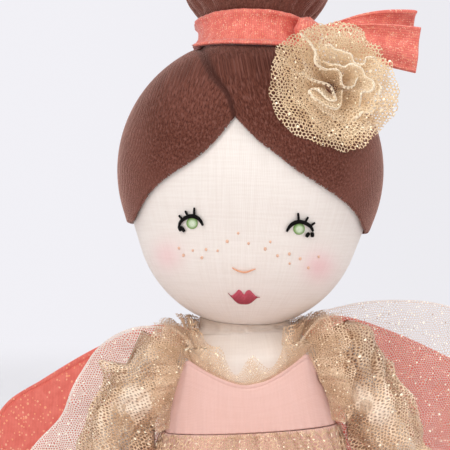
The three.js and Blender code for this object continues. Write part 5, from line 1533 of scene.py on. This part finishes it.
FRILL_ROWS = [  # along the armhole: a place, which way the strip leaves the dress there, and its width
    (24.6, -13.5, 40.2, 0.8, -0.6, 0.0, 5.0),
    (23.8, -14.2, 46.0, 0.8, -0.6, 0.05, 8.0),
    (21.6, -14.2, 53.0, 0.82, -0.55, 0.12, 10.5),
    (18.9, -12.6, 59.5, 0.85, -0.42, 0.3, 12.0),
    (17.6, -8.0, 65.0, 0.85, -0.2, 0.5, 12.5),
    (17.2, -1.0, 68.4, 0.85, 0.0, 0.52, 12.0),
    (17.6, 6.0, 67.0, 0.85, 0.2, 0.5, 11.0),
    (19.8, 11.0, 62.0, 0.85, 0.42, 0.3, 10.0),
    (22.4, 12.8, 54.0, 0.82, 0.55, 0.1, 8.5),
    (24.0, 13.2, 46.0, 0.8, 0.6, 0.0, 6.5),
    (24.6, 13.0, 40.5, 0.8, 0.6, 0.0, 4.5),
]


def make_shoulder_frill(side, side_name):
    """A gathered net strip along the edge of the armhole; its folds open out over the head of the sleeve."""
    piece = Piece(f"{side_name}_shoulder_frill")
    along = np.linspace(0, 1, 360)
    knots = np.linspace(0, 1, len(FRILL_ROWS))
    rows = np.stack([through(list(zip(knots, column)), along) for column in zip(*FRILL_ROWS)], 1)
    line, way, width = rows[:, :3], rows[:, 3:6], rows[:, 6:] * (1.12 if side > 0 else 1.0)
    run = np.gradient(line, axis=0)
    run /= np.linalg.norm(run, axis=1, keepdims=True)
    share = shares(26)
    for seed, scale, steep in ((0.0, 1.0, -0.12), (1.9, 0.8, 0.14)):
        out = way + steep * np.array([-0.35, -0.1, 0.9]) * smooth((line[:, 2:] - 50) / 16)
        out /= np.linalg.norm(out, axis=1, keepdims=True)
        over = np.cross(run, out)
        sway = along[:, None] * 44 + 1.2 * np.sin(along[:, None] * 21 + seed)
        fold = ridge(0.5 * sway + seed) * 2.3 + ridge(1.1 * sway + 1 + seed) * 1.0 + 0.2 * np.sin(5.3 * sway)
        reach = width * scale * (np.sin(share * np.pi / 2) * 0.35 + 0.65 * share)
        reach = reach * (1 + 0.06 * np.sin(0.9 * sway + seed))
        points = line[:, None] + out[:, None] * reach[..., None]
        calm = 1 - 0.8 * smooth((line[:, 2:] - 54) / 10)
        points = points + over[:, None] * (fold * calm * smooth(share * 1.4))[..., None]
        points[..., 2] -= 0.10 * share**2 * width * (line[:, 2:] < 64)
        points = outside_torso(points, DRESS_CLOTH + GAP + 0.35)
        points[..., 2] -= 0.65 * np.maximum(0, points[..., 2] - 71)
        roof = under_head(side * points[..., 0], points[..., 1], 0.5, NODS) - 0.35
        points[..., 2] = np.minimum(points[..., 2], roof)
        points[..., 0] *= side
        cloth = cloth_lengths(points)[..., ::-1] * (1.5, 1.5) + (0, 70 * seed + 300)
        tone = 0.3 * smooth((share - 0.97) / 0.03) + 0.3 * smooth((fold - 0.9) / 0.8) * share - 0.05
        # Painted shade in the valleys of the folds and along the foot of the strip.
        shade = 0.55 * smooth((-0.2 - fold) / 1.2) * (0.4 + 0.6 * share) + 0.4 * np.exp(-share * 5)
        piece.grid(place(points, BODY), cloth, over=side < 0, mask=tone + 1j * shade)
    made = piece.make(DRESS_TULLE, "gold_tulle")
    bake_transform(made)


# Dress

NECKLINE = (64.5, 11.5, 3.5)  # its height at the shoulders, and how much lower it is in front and behind
ARMHOLE = 14.5  # how much lower the bodice is cut under each arm


def neckline(a):
    """Height of the dress's upper edge: cut lower in front, and a little at the back."""
    front, back = np.maximum(0, np.cos(a)) ** 2, np.maximum(0, -np.cos(a)) ** 2
    high, front_cut, back_cut = NECKLINE
    return high - front_cut * front - back_cut * back


def make_bodice():
    """Linen drawn smoothly round the chest from the waist to the neckline, and cut low under the arms."""
    a = ring(300).T
    share = shares(70)
    top = neckline(a) - ARMHOLE * bell(np.abs(np.sin(a)) - 1, 0.085)
    z = WAIST + 0.06 + (top - WAIST - 0.06) * share
    run = (1 - share) * (top - WAIST)
    roll = rolled(run, 0.7) * rolled(share * (top - WAIST), 0.25)
    seam = 0.28 * bell(run - 1.6, 0.22)
    drag = 0.10 * np.sin(14 * a + 0.12 * z) * smooth(share * 3) + 0.16 * np.sin(44 * a) * np.exp(-share * 9)
    thick = 0.12 + DRESS_CLOTH * roll + drag * roll - seam
    outer, inner = (torso_point(a, z, GAP + t) for t in (thick, 0.02))
    piece = Piece("bodice_linen")
    piece.panel(place(outer, BODY), place(inner, BODY), around=True)
    made = piece.make(ROSE, "rose_linen", "torso", ["dress_bodice"])


RUFFLE_PEAKS = (-27, 6, 44)  # degrees round the neck at which the front of the net stands tallest
RUFFLE_STRIPS = (  # seed, scale, how far it leans out, and how tall its points in front are
    (0.0, 1.0, 0.3, 1.0), (2.1, 0.92, 2.6, 1.0), (4.4, 0.8, 6.2, 0.4),
)


def make_neck_ruffle():
    """Net strips that rise from inside the neckline: points in front, and crumpled folds over the shoulders.

    Each strip leans out further than the one inside it.
    """
    piece = Piece("neckline_net")
    a, share = ring(560).T, shares(20)
    beside = smooth((1 - np.maximum(0, np.cos(a)) ** 2) * 1.5)
    degrees = np.degrees(np.arctan2(np.sin(a), np.cos(a)))
    for seed, scale, spread, front in RUFFLE_STRIPS:
        sway = a + 0.1 * np.sin(5 * a + seed)
        fold = ridge(12 * sway + seed) * 1.3 + ridge(7.5 * sway + 2 * seed + 1) * 1.5
        fold = fold + 0.2 * np.sin(53 * sway)
        peaks = sum(bell(degrees - p + 4 * np.sin(seed), 9.5) for p in RUFFLE_PEAKS)
        tall = (2.0 + 6.8 * np.minimum(peaks, 1)) * (1 - beside) * front
        tall = tall + 10.5 * beside * (1 + 0.1 * np.sin(9 * a + seed))
        z = neckline(a) - 0.5 + np.sin(share * np.pi / 2) * tall * scale
        skin = torso_radius(a, np.minimum(z, NECK_BASE), GAP)
        skin = np.where(z > 64, np.minimum(skin, 15.4), skin)
        lean = spread * beside * share**0.7 * (1 + 0.35 * share) + fold * share * (0.3 + 0.7 * beside)
        r = np.maximum(skin, 15.0) + 1.2 + 0.6 * smooth(share * 4) + np.maximum(lean, -0.3)
        z = np.minimum(z, under_head(r * np.sin(a), -r * np.cos(a), 0.5, NODS) - 0.35)
        points = place(polar(r, a, z), BODY)
        cloth = cloth_lengths(points, rows=True)[..., ::-1] * (1.4, 1.35) + (0, 50 * seed)
        tone = 0.12 * beside + 0.25 * smooth((0.1 - share) / 0.1) + 0.3 * smooth((fold - 1.2) / 0.8) * share
        tone = tone - 0.05 - 0.2 * (1 - beside)
        # Painted shade in the valleys of the folds, along the foot of each strip, and under the jaw over the
        # shoulders.
        shade = 0.6 * smooth((-0.2 - fold) / 1.2) * (0.3 + 0.7 * beside) + 0.3 * np.exp(-share * 6)
        shade = shade + 0.35 * beside * smooth((z - 68) / 6)
        piece.grid(points, cloth, rows=True, mask=tone + 1j * shade * (0.4 + 0.6 * beside))
    made = piece.make(DRESS_TULLE, "gold_tulle", "torso", ["neck_ruffle"])


ANKLE = 7.6


def leg_radius(s):
    return through([(0, THIGH), (46, 9.6), (LEG_LENGTH, ANKLE)], s)


def leg_rise(x, y):
    """Height of the cloth over the legs: a bell over each."""
    turned = math.radians(LEG_SPREAD)
    rise = 0
    for side, _ in SIDES:
        dx, dy = x - side * HIP[0], y - HIP[1]
        along = dx * side * math.sin(turned) - dy * math.cos(turned)
        across = np.abs(dx * math.cos(turned) + dy * side * math.sin(turned))
        over = bell(np.maximum(0, across - 4), 11) * smooth((along + THIGH + 4) / (THIGH + 2))
        rise = np.maximum(rise, 2 * leg_radius(along) * over)
    return rise


WAIST_SIZE = (25.14, 17.77)
HEM = (38.5, 35.5, 7.5)  # how far out it lies beside the doll, and how much further in front and behind
MEETING = 2.5  # how softly the falling cloth meets what it lies on
GROUND = 0.7  # the least height of the lining's inner face


def skirt_surface(a, u, lift):
    """The skirt falls from the waist, softly meets the legs and the ground, and is lifted off squarely."""
    front, back = np.maximum(0, np.cos(a)) ** 1.5, np.maximum(0, -np.cos(a)) ** 1.5
    beside, more_front, more_back = HEM
    hem = beside + more_front * front + more_back * back
    waist = superellipse(a, *WAIST_SIZE, TORSO_SQUARENESS)
    r = waist + (hem - waist) * u
    x, y = r * np.sin(a), -r * np.cos(a)
    top = WAIST - 0.05 - x * math.tan(math.radians(BODY_TILT))
    flare = 2.7 - 1.55 * np.maximum(front, back)
    fall = top * (1 - u) ** flare
    rest = np.maximum(GROUND, leg_rise(x, y) + 0.9)
    z = MEETING * np.logaddexp(fall / MEETING, rest / MEETING) - MEETING * 0.69 * (1 - u)
    z = np.where(u < 0.02, top + (np.maximum(rest, z) - top) * u / 0.02, np.maximum(rest, z))
    slope = top * flare * (1 - u) ** (flare - 1) / (hem - waist)
    steep = np.hypot(1, slope)
    return polar(r + lift * slope / steep, a, z + lift / steep * smooth(u / 0.05))


SKIRT_PARTS = {  # first and last degree round the doll, and the side of the legs that a part lies over, or None for the back, which rides on the torso
    "back": (115, 245, None),
    "left_front": (0, 115, 1),
    "right_front": (245, 360, -1),
}


def make_skirt_part(part, layer, surface_at, material, slot, nodes, thickness):
    """One length of the skirt, which lies over the legs; the back one rides on the torso."""
    first, last, side = SKIRT_PARTS[part]
    a = np.radians(np.linspace(first, last, max(3, int((last - first) * 1.6)) + 1))[:, None]
    u = shares(80)
    piece = Piece(f"skirt_{layer}_{part}")
    for k, (lift, mask) in enumerate(surface_at(a, u)):
        cloth = joined(np.degrees(a) * 0.7 + 7 * k, u * 52)
        surface = skirt_surface(a, u, lift)
        if thickness:
            piece.panel(skirt_surface(a, u, lift + thickness), surface, cloth)
        else:
            piece.grid(surface, cloth, mask=mask)
    made = piece.make(material, slot, nodes=nodes)
    if side is None:
        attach(made, "torso")
    else:
        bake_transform(made)


def hem_waves(a, u):
    """Fourteen folds that open towards the hem, widest in front and behind."""
    return (0.25 + 0.75 * np.cos(a) ** 2) * u**0.7 * 0.5 * (1 + np.cos(14 * a))


def lining_at(a, u):
    """How far the lining's own soft folds lift it."""
    return [(0.5 + 0.8 * hem_waves(a, u) + 0.12 * (1 + np.sin(60 * a)) * np.exp(-5 * u), None)]


def net_at(a, u):
    """Two nets over the lining, with masks: deep folds towards the hem, close gathers at the waist."""
    layers = []
    for seed, base, depth in ((0.0, 2.2, 1.0), (1.7, 2.9, 0.8)):
        gathers = np.sin(44 * a + 1.5 * np.sin(9 * a) + seed)
        drifts = np.sin(13 * a + 2.2 * np.sin(5 * a) + 0.5 * seed)
        small = 0.8 * (1 + gathers) * np.exp(-2.4 * u) * smooth(u / 0.03)
        more = 0.5 * (1 + np.sin(34 * a + 3 * np.sin(5 * a + seed) + 2 * u)) * u
        tone = 0.5 * smooth((u - 0.985) / 0.01) - 0.1 - 0.06 * seed
        tone = tone + 0.2 * smooth((gathers - 0.6) * 3) * np.exp(-4 * u)
        tone = tone - 0.12 * smooth(-drifts * 1.6) * np.exp(-2 * u)
        # Painted shade between the gathers and in broad columns, fading towards the hem.
        shade = (0.36 * smooth(-gathers) + 0.3 * smooth(drifts * 1.6)) * np.exp(-1.3 * u)
        layers.append((base + depth * (3 * hem_waves(a, u) + small + more), tone + 1j * shade))
    return layers


def make_skirts():
    """The linen lining and the nets over it, each as a back and two fronts; the back stands for the CAD's."""
    for part in SKIRT_PARTS:
        back = part == "back"
        nodes = ["skirt_lining"] if back else []
        make_skirt_part(part, "lining", lining_at, ROSE, "rose_linen", nodes, DRESS_CLOTH)
        nodes = ["skirt_net"] if back else []
        make_skirt_part(part, "net", net_at, DRESS_TULLE, "gold_tulle", nodes, 0)


# Legs and slippers

def make_leg(side, side_name):
    """A stuffed leg along -Y: round, pressed flat where it lies, with creases at the hip and the ankle."""
    s = down_limb(-THIGH * np.cos(np.linspace(0.03, np.pi / 2, 26)), LEG_LENGTH, 110,
                  ANKLE * np.sin(np.linspace(0, np.pi / 2 - 0.06, 22)))
    a = ring(90)
    crease = 1 + 0.012 * np.sin(7 * a + s / 9) + 0.01 * np.sin(s / 2.7) * np.sin(2 * a + s / 17)
    r = leg_radius(s) * rounded_ends(s, LEG_LENGTH, THIGH, ANKLE + 0.02) * crease
    z = np.maximum(leg_radius(s) - THIGH + r * np.sin(a), -HIP[2])
    piece = Piece(f"{side_name}_leg_cover")
    piece.closed(place(joined(r * np.cos(a), -s, z), hip_place(side)))
    made = piece.make(LINEN, "linen", f"{side_name}_leg", [f"{side_name}_leg"])


SLIPPER_ROWS = [  # share of its height, and of its half width and half length there
    (0, 0.45, 0.5), (0.05, 0.72, 0.76), (0.16, 0.92, 0.98), (0.34, 1, 1), (0.55, 0.98, 0.86),
    (0.75, 0.88, 0.66), (0.9, 0.64, 0.46), (0.98, 0.3, 0.24), (1.0, 0.05, 0.05),
]
SLIPPER_SIZE = (8.5, 8.0, 27.0)  # half width, half length and height
SLIPPER_SQUARENESS = 2.3
HEEL_BACK = 13.0  # how far the slipper reaches back past the end of the leg


def make_slipper(side, side_name):
    """A stuffed foot that stands up from the heel, thinner to the toe, hollowed where the ankle goes in."""
    h = down_limb([0.0], 0.9, 60, 0.1 * np.sin(np.linspace(0, np.pi / 2, 20)))
    a = ring(90)
    wide, long = (size * share for size, share in zip(SLIPPER_SIZE, sizes_at(SLIPPER_ROWS, h)))
    x = wide * bend(np.cos(a), SLIPPER_SQUARENESS)
    y = long * bend(np.sin(a), SLIPPER_SQUARENESS) + long - LEG_LENGTH - GAP - HEEL_BACK
    z = SLIPPER_SIZE[2] * h - HIP[2]
    room = (ANKLE + GAP) ** 2 - x**2 - (z + THIGH - ANKLE) ** 2
    y = np.where(room > 0, np.minimum(y, -LEG_LENGTH - np.sqrt(np.maximum(room, 0))), y)
    piece = Piece(f"{side_name}_slipper_cover")
    piece.closed(place(joined(x, y, z), hip_place(side)))
    made = piece.make(CORAL_CLOTH, "coral_cloth", f"{side_name}_leg", [f"{side_name}_slipper"])


# Wings

WING_OUTLINE = [
    (0.8, -14), (0.8, 4), (12, 12.5), (27, 14.5), (46, 8), (66, -2), (80, -10), (86, -20), (80, -29),
    (66, -33), (56, -33.5), (60, -41), (56, -49), (46, -51), (36, -45), (24, -32), (11, -21),
]
NET_OUTLINES = {
    1: [(0.8, -13), (0.8, 4), (11, 13.6), (28, 18), (46, 18.6), (64, 15.6), (79, 7), (84, -7), (80, -22),
        (64, -33), (44, -38), (24, -29), (10, -19)],
    -1: [(0.8, -14), (0.8, 4), (14, 12.5), (30, 14.5), (43, 9), (51, 0), (58, -13), (68, -23), (75, -33),
         (68, -43), (52, -46), (34, -39), (20, -29), (9, -19)],
}
NET_DENSITY = {-1: 0.52, 1: -0.03}  # the net lies double on the right wing
WING_MIDDLE = (44.0, -12.0)
NET_MIDDLES = {-1: (38.0, -16.0), 1: (42.0, -3.0)}
WING_STITCH = 2.2  # how far in from the edge the wing's stitched line runs


def drawn_in(outline, middle, k):
    """An outline drawn in towards its middle by shares k, and how far each point lies inside it."""
    x, z = (middle[i] + (outline[:, i] - middle[i]) * k for i in (0, 1))
    return x, z, (1 - k) * np.linalg.norm(outline - middle, axis=1)


def wing_place(side):
    """The frame of a wing, which is mirrored on the right."""
    pivot = BODY @ shift(side * WING_ROOT[0], WING_ROOT[1], WING_ROOT[2]) @ turn("Z", side * WING_SWEEP)
    return pivot @ np.diag([side, 1.0, 1.0, 1.0])


def make_wing(side, side_name):
    """Two coral faces over wadding: domed inside a stitched line, and flat between it and the edge."""
    outline = line_through(WING_OUTLINE, 260, closed=True)
    k = np.linspace(0.02, 1, 70)[:, None] ** 0.8
    x, z, inset = drawn_in(outline, WING_MIDDLE, k)
    half = 0.7 + 1.5 * (1 - k**2.4) - 0.5 * bell(inset - WING_STITCH, 0.55)
    half = half * (0.25 + 0.75 * rolled(inset, 0.7))
    pucker = 0.12 * np.sin(np.arange(260) * 2 * np.pi / 5.2) * bell(inset - 2.6, 1.6)
    gather = 0.5 * np.sin(z * 1.1) * np.exp(-x / 9.0)
    quilt = 0.18 * np.sin(x / 5.1 + z / 7) * (1 - k)
    front, back = (joined(x, way * (half + pucker) + gather - quilt, z) for way in (-1, 1))
    flat = joined(x, z)
    cloth = np.concatenate([flat, flat[::-1] + 100])
    cloth = np.concatenate([cloth, cloth[:, :1]], 1)
    tone = 0.5 * bell(inset - WING_STITCH, 0.5)
    piece = Piece(f"{side_name}_wing_pad")
    points = place(np.concatenate([front, back[::-1]]), wing_place(side))
    piece.closed(points, cloth, np.concatenate([tone, tone[::-1]]))
    made = piece.make(CORAL_CLOTH, "coral_cloth", f"{side_name}_wing", [f"{side_name}_wing"])


def make_wing_net(side, side_name):
    """Net over the wing: folds run out from the gathered root, and its hem is a thicker edge."""
    outline = line_through(NET_OUTLINES[side], 320, closed=True)
    x, z, inset = drawn_in(outline, NET_MIDDLES[side], np.linspace(0.015, 1, 70)[:, None])
    wave = 0.9 * np.sin(0.32 * z + 0.6) * smooth((x - 4) / 46)
    angle = np.arctan2(z + 5, x + 14)
    fan = 0.55 * np.sin(angle * 30 + 1.3 * np.sin(x / 15)) * smooth(x / 6) * np.exp(-x / 45)
    fan = fan + 0.25 * np.sin(angle * 64) * np.exp(-x / 18)
    points = place(joined(x, wave + fan - 4.0, z), wing_place(side))
    flat = joined(x, z * 1.08)
    cloth = np.concatenate([flat, flat[:, :1]], 1)
    tone = 0.7 * smooth((0.9 - inset) / 0.4) + NET_DENSITY[side]
    piece = Piece(f"{side_name}_wing_tulle")
    piece.grid(points, cloth, columns=True, caps=(True, False), over=side > 0, mask=tone)
    made = piece.make(PALE_TULLE, "pale_tulle", f"{side_name}_wing", [f"{side_name}_wing_net"])


WRAP_SIZE = (3.75, 3.5, 21.0)  # half width, half depth and height
WRAP_HEIGHT = 49.5
WRAP_SQUARENESS = 2.6
BACK_DEPTH = 17.1  # how far behind its axis the torso reaches there


def make_wing_gather():
    """A wrapped strip that draws both wings together: an oval column with creases, hollowed to the back."""
    share = shares(60).T
    a = ring(90)
    size = through([(0, 0.6), (0.12, 0.95), (0.5, 0.86), (0.88, 0.95), (1, 0.6)], share)
    size = size * (1 + 0.03 * np.sin(14 * a + 9 * share) + 0.05 * np.sin(share * 40))
    off_back = DRESS_CLOTH + 2 * GAP
    x = WRAP_SIZE[0] * size * bend(np.cos(a), WRAP_SQUARENESS)
    y = BACK_DEPTH + off_back + 2.5 + WRAP_SIZE[1] * size * bend(np.sin(a), WRAP_SQUARENESS)
    z = WRAP_HEIGHT + (share - 0.5) * WRAP_SIZE[2] + 0 * a
    angle = np.arctan2(x, -y)
    r = np.maximum(np.hypot(x, y), torso_radius(angle, z, off_back))
    piece = Piece("wing_gather_wrap")
    piece.closed(place(polar(r, angle, z), BODY))
    made = piece.make(CORAL_CLOTH, "coral_cloth", "torso", ["wing_gather"])


make_flower()
make_torso()
make_neck()
make_bodice()
make_neck_ruffle()
make_skirts()
make_wing_gather()
for side, side_name in SIDES:
    make_arm(side, side_name)
    make_sleeve(side, side_name)
    make_shoulder_frill(side, side_name)
    make_leg(side, side_name)
    make_slipper(side, side_name)
    make_wing(side, side_name)
    make_wing_net(side, side_name)


# Camera, floor and light

CAMERA_MIDDLE = Vector((-0.00775, 0, 0.1006))
CAMERA_DISTANCE = 0.6
VIEW_WIDTH = 0.1395
SENSOR_WIDTH = 36
LAMPS = {  # place, aim height, size, power and colour
    "key_panel": ((-0.7, -1.35, 1.45), 0.1, 1.1, 14.9, (1.0, 0.985, 0.965)),
    "low_panel": ((-1.2, -1.2, 0.25), 0.1, 1.0, 4.9, (1.0, 0.98, 0.96)),
    "side_panel": ((1.3, -1.1, 0.7), 0.1, 1.2, 5.8, (1.0, 0.98, 0.97)),
    "high_panel": ((0.9, -0.5, 1.4), 0.15, 0.8, 5.0, (1.0, 0.99, 0.98)),
    "top_panel": ((0.1, 0.5, 1.7), 0.1, 1.0, 6.0, (1.0, 1.0, 1.0)),
}


def make_camera():
    """A level camera straight in front of the doll, whose lens takes in the photograph's width."""
    data = bpy.data.cameras.new("camera")
    data.sensor_width = SENSOR_WIDTH
    data.lens = SENSOR_WIDTH * CAMERA_DISTANCE / VIEW_WIDTH
    data.clip_start = 0.02
    camera = in_scene("camera", data)
    camera.location = CAMERA_MIDDLE + Vector((0, -CAMERA_DISTANCE, 0))
    camera.rotation_euler = (math.pi / 2, 0, 0)
    bpy.context.scene.camera = camera


def make_studio():
    """A pale floor that curves up into a wall behind the doll, and the wall's glow, lighter on the left as a
    painted falloff of the light.
    """
    x = np.linspace(-3, 3, 13)[:, None]
    t = shares(61)
    y = np.where(t < 0.5, -2.5 + 2 * t * 3.1, 0.6 + 0.5 * np.sin((2 * t - 1) * np.pi / 2))
    z = np.where(t < 0.5, 0, 0.5 * (1 - np.cos((2 * t - 1) * np.pi / 2)))
    z[:, -1] = 3.0
    points = joined(x, y, z)
    quads = corners(np.arange(points.size // 3).reshape(points.shape[:2])).reshape(-1, 4)
    mesh = bpy.data.meshes.new("studio_sweep")
    mesh.from_pydata(points.reshape(-1, 3).tolist(), [], quads.tolist())
    mesh.polygons.foreach_set("use_smooth", np.ones(len(quads), bool))
    in_scene("studio_sweep", mesh)
    paint = bpy.data.materials.new("studio_paper")
    paint.use_nodes = True
    s = Shader(paint.node_tree)
    surface = paint.node_tree.nodes["Principled BSDF"]
    s.fill(surface, {"Base Color": rgb(0.8, 0.795, 0.82), "Roughness": 0.9, "Specular IOR Level": 0.1})
    place_in = s.parts(s.node("TexCoord").outputs["Object"])
    wall = s.between(place_in[2], 0.0, 0.02)
    rays = s.node("LightPath").outputs
    seen = s.most(rays["Is Camera Ray"], s.most(rays["Is Glossy Ray"], rays["Is Transmission Ray"]))
    # Painted light: the wall glows lighter on the left than on the right.
    painted_falloff = s.mix(s.between(place_in[0], -0.16, 0.16), rgb(0.885, 0.876, 0.92), rgb(0.845, 0.838, 0.876))
    glow = s.node("Emission", {"Color": painted_falloff, "Strength": 1.0}).outputs[0]
    faced = s.node("MixShader", {0: s.times(wall, seen), 1: surface.outputs[0], 2: glow}).outputs[0]
    behind = s.node("NewGeometry").outputs["Backfacing"]
    clear = s.node("BsdfTransparent").outputs[0]
    shown = s.node("MixShader", {0: behind, 1: faced, 2: clear}).outputs[0]
    s.fill(paint.node_tree.nodes["Material Output"], {"Surface": shown})
    mesh.materials.append(paint)


def make_lamp(name, place_at, aim_height, size, power, colour):
    """A round soft panel that faces the doll at a height."""
    data = bpy.data.lights.new(name, "AREA")
    data.shape = "DISK"
    data.size = size
    data.energy = power
    data.color = colour
    lamp = in_scene(name, data)
    lamp.location = place_at
    aim = Vector((0, 0, aim_height)) - Vector(place_at)
    lamp.rotation_euler = aim.to_track_quat("-Z", "Y").to_euler()


def make_light():
    """An even pale air that shows as the backdrop's tone, and the lamps."""
    world = bpy.data.worlds.new("studio_air")
    bpy.context.scene.world = world
    world.use_nodes = True
    s = Shader(world.node_tree)
    air = s.fill(world.node_tree.nodes["Background"], {"Color": rgb(0.97, 0.98, 1.0), "Strength": 0.45})
    backdrop = s.node("Background", {"Color": rgb(0.865, 0.857, 0.9), "Strength": 1.0}).outputs[0]
    seen = s.node("LightPath").outputs["Is Camera Ray"]
    shown = s.node("MixShader", {0: seen, 1: air.outputs[0], 2: backdrop}).outputs[0]
    s.fill(world.node_tree.nodes["World Output"], {"Surface": shown})
    for name, lamp in LAMPS.items():
        make_lamp(name, *lamp)


make_camera()
make_studio()
make_light()
bpy.context.scene.view_settings.view_transform = "Standard"
bpy.context.scene.cycles.transparent_max_bounces = 32
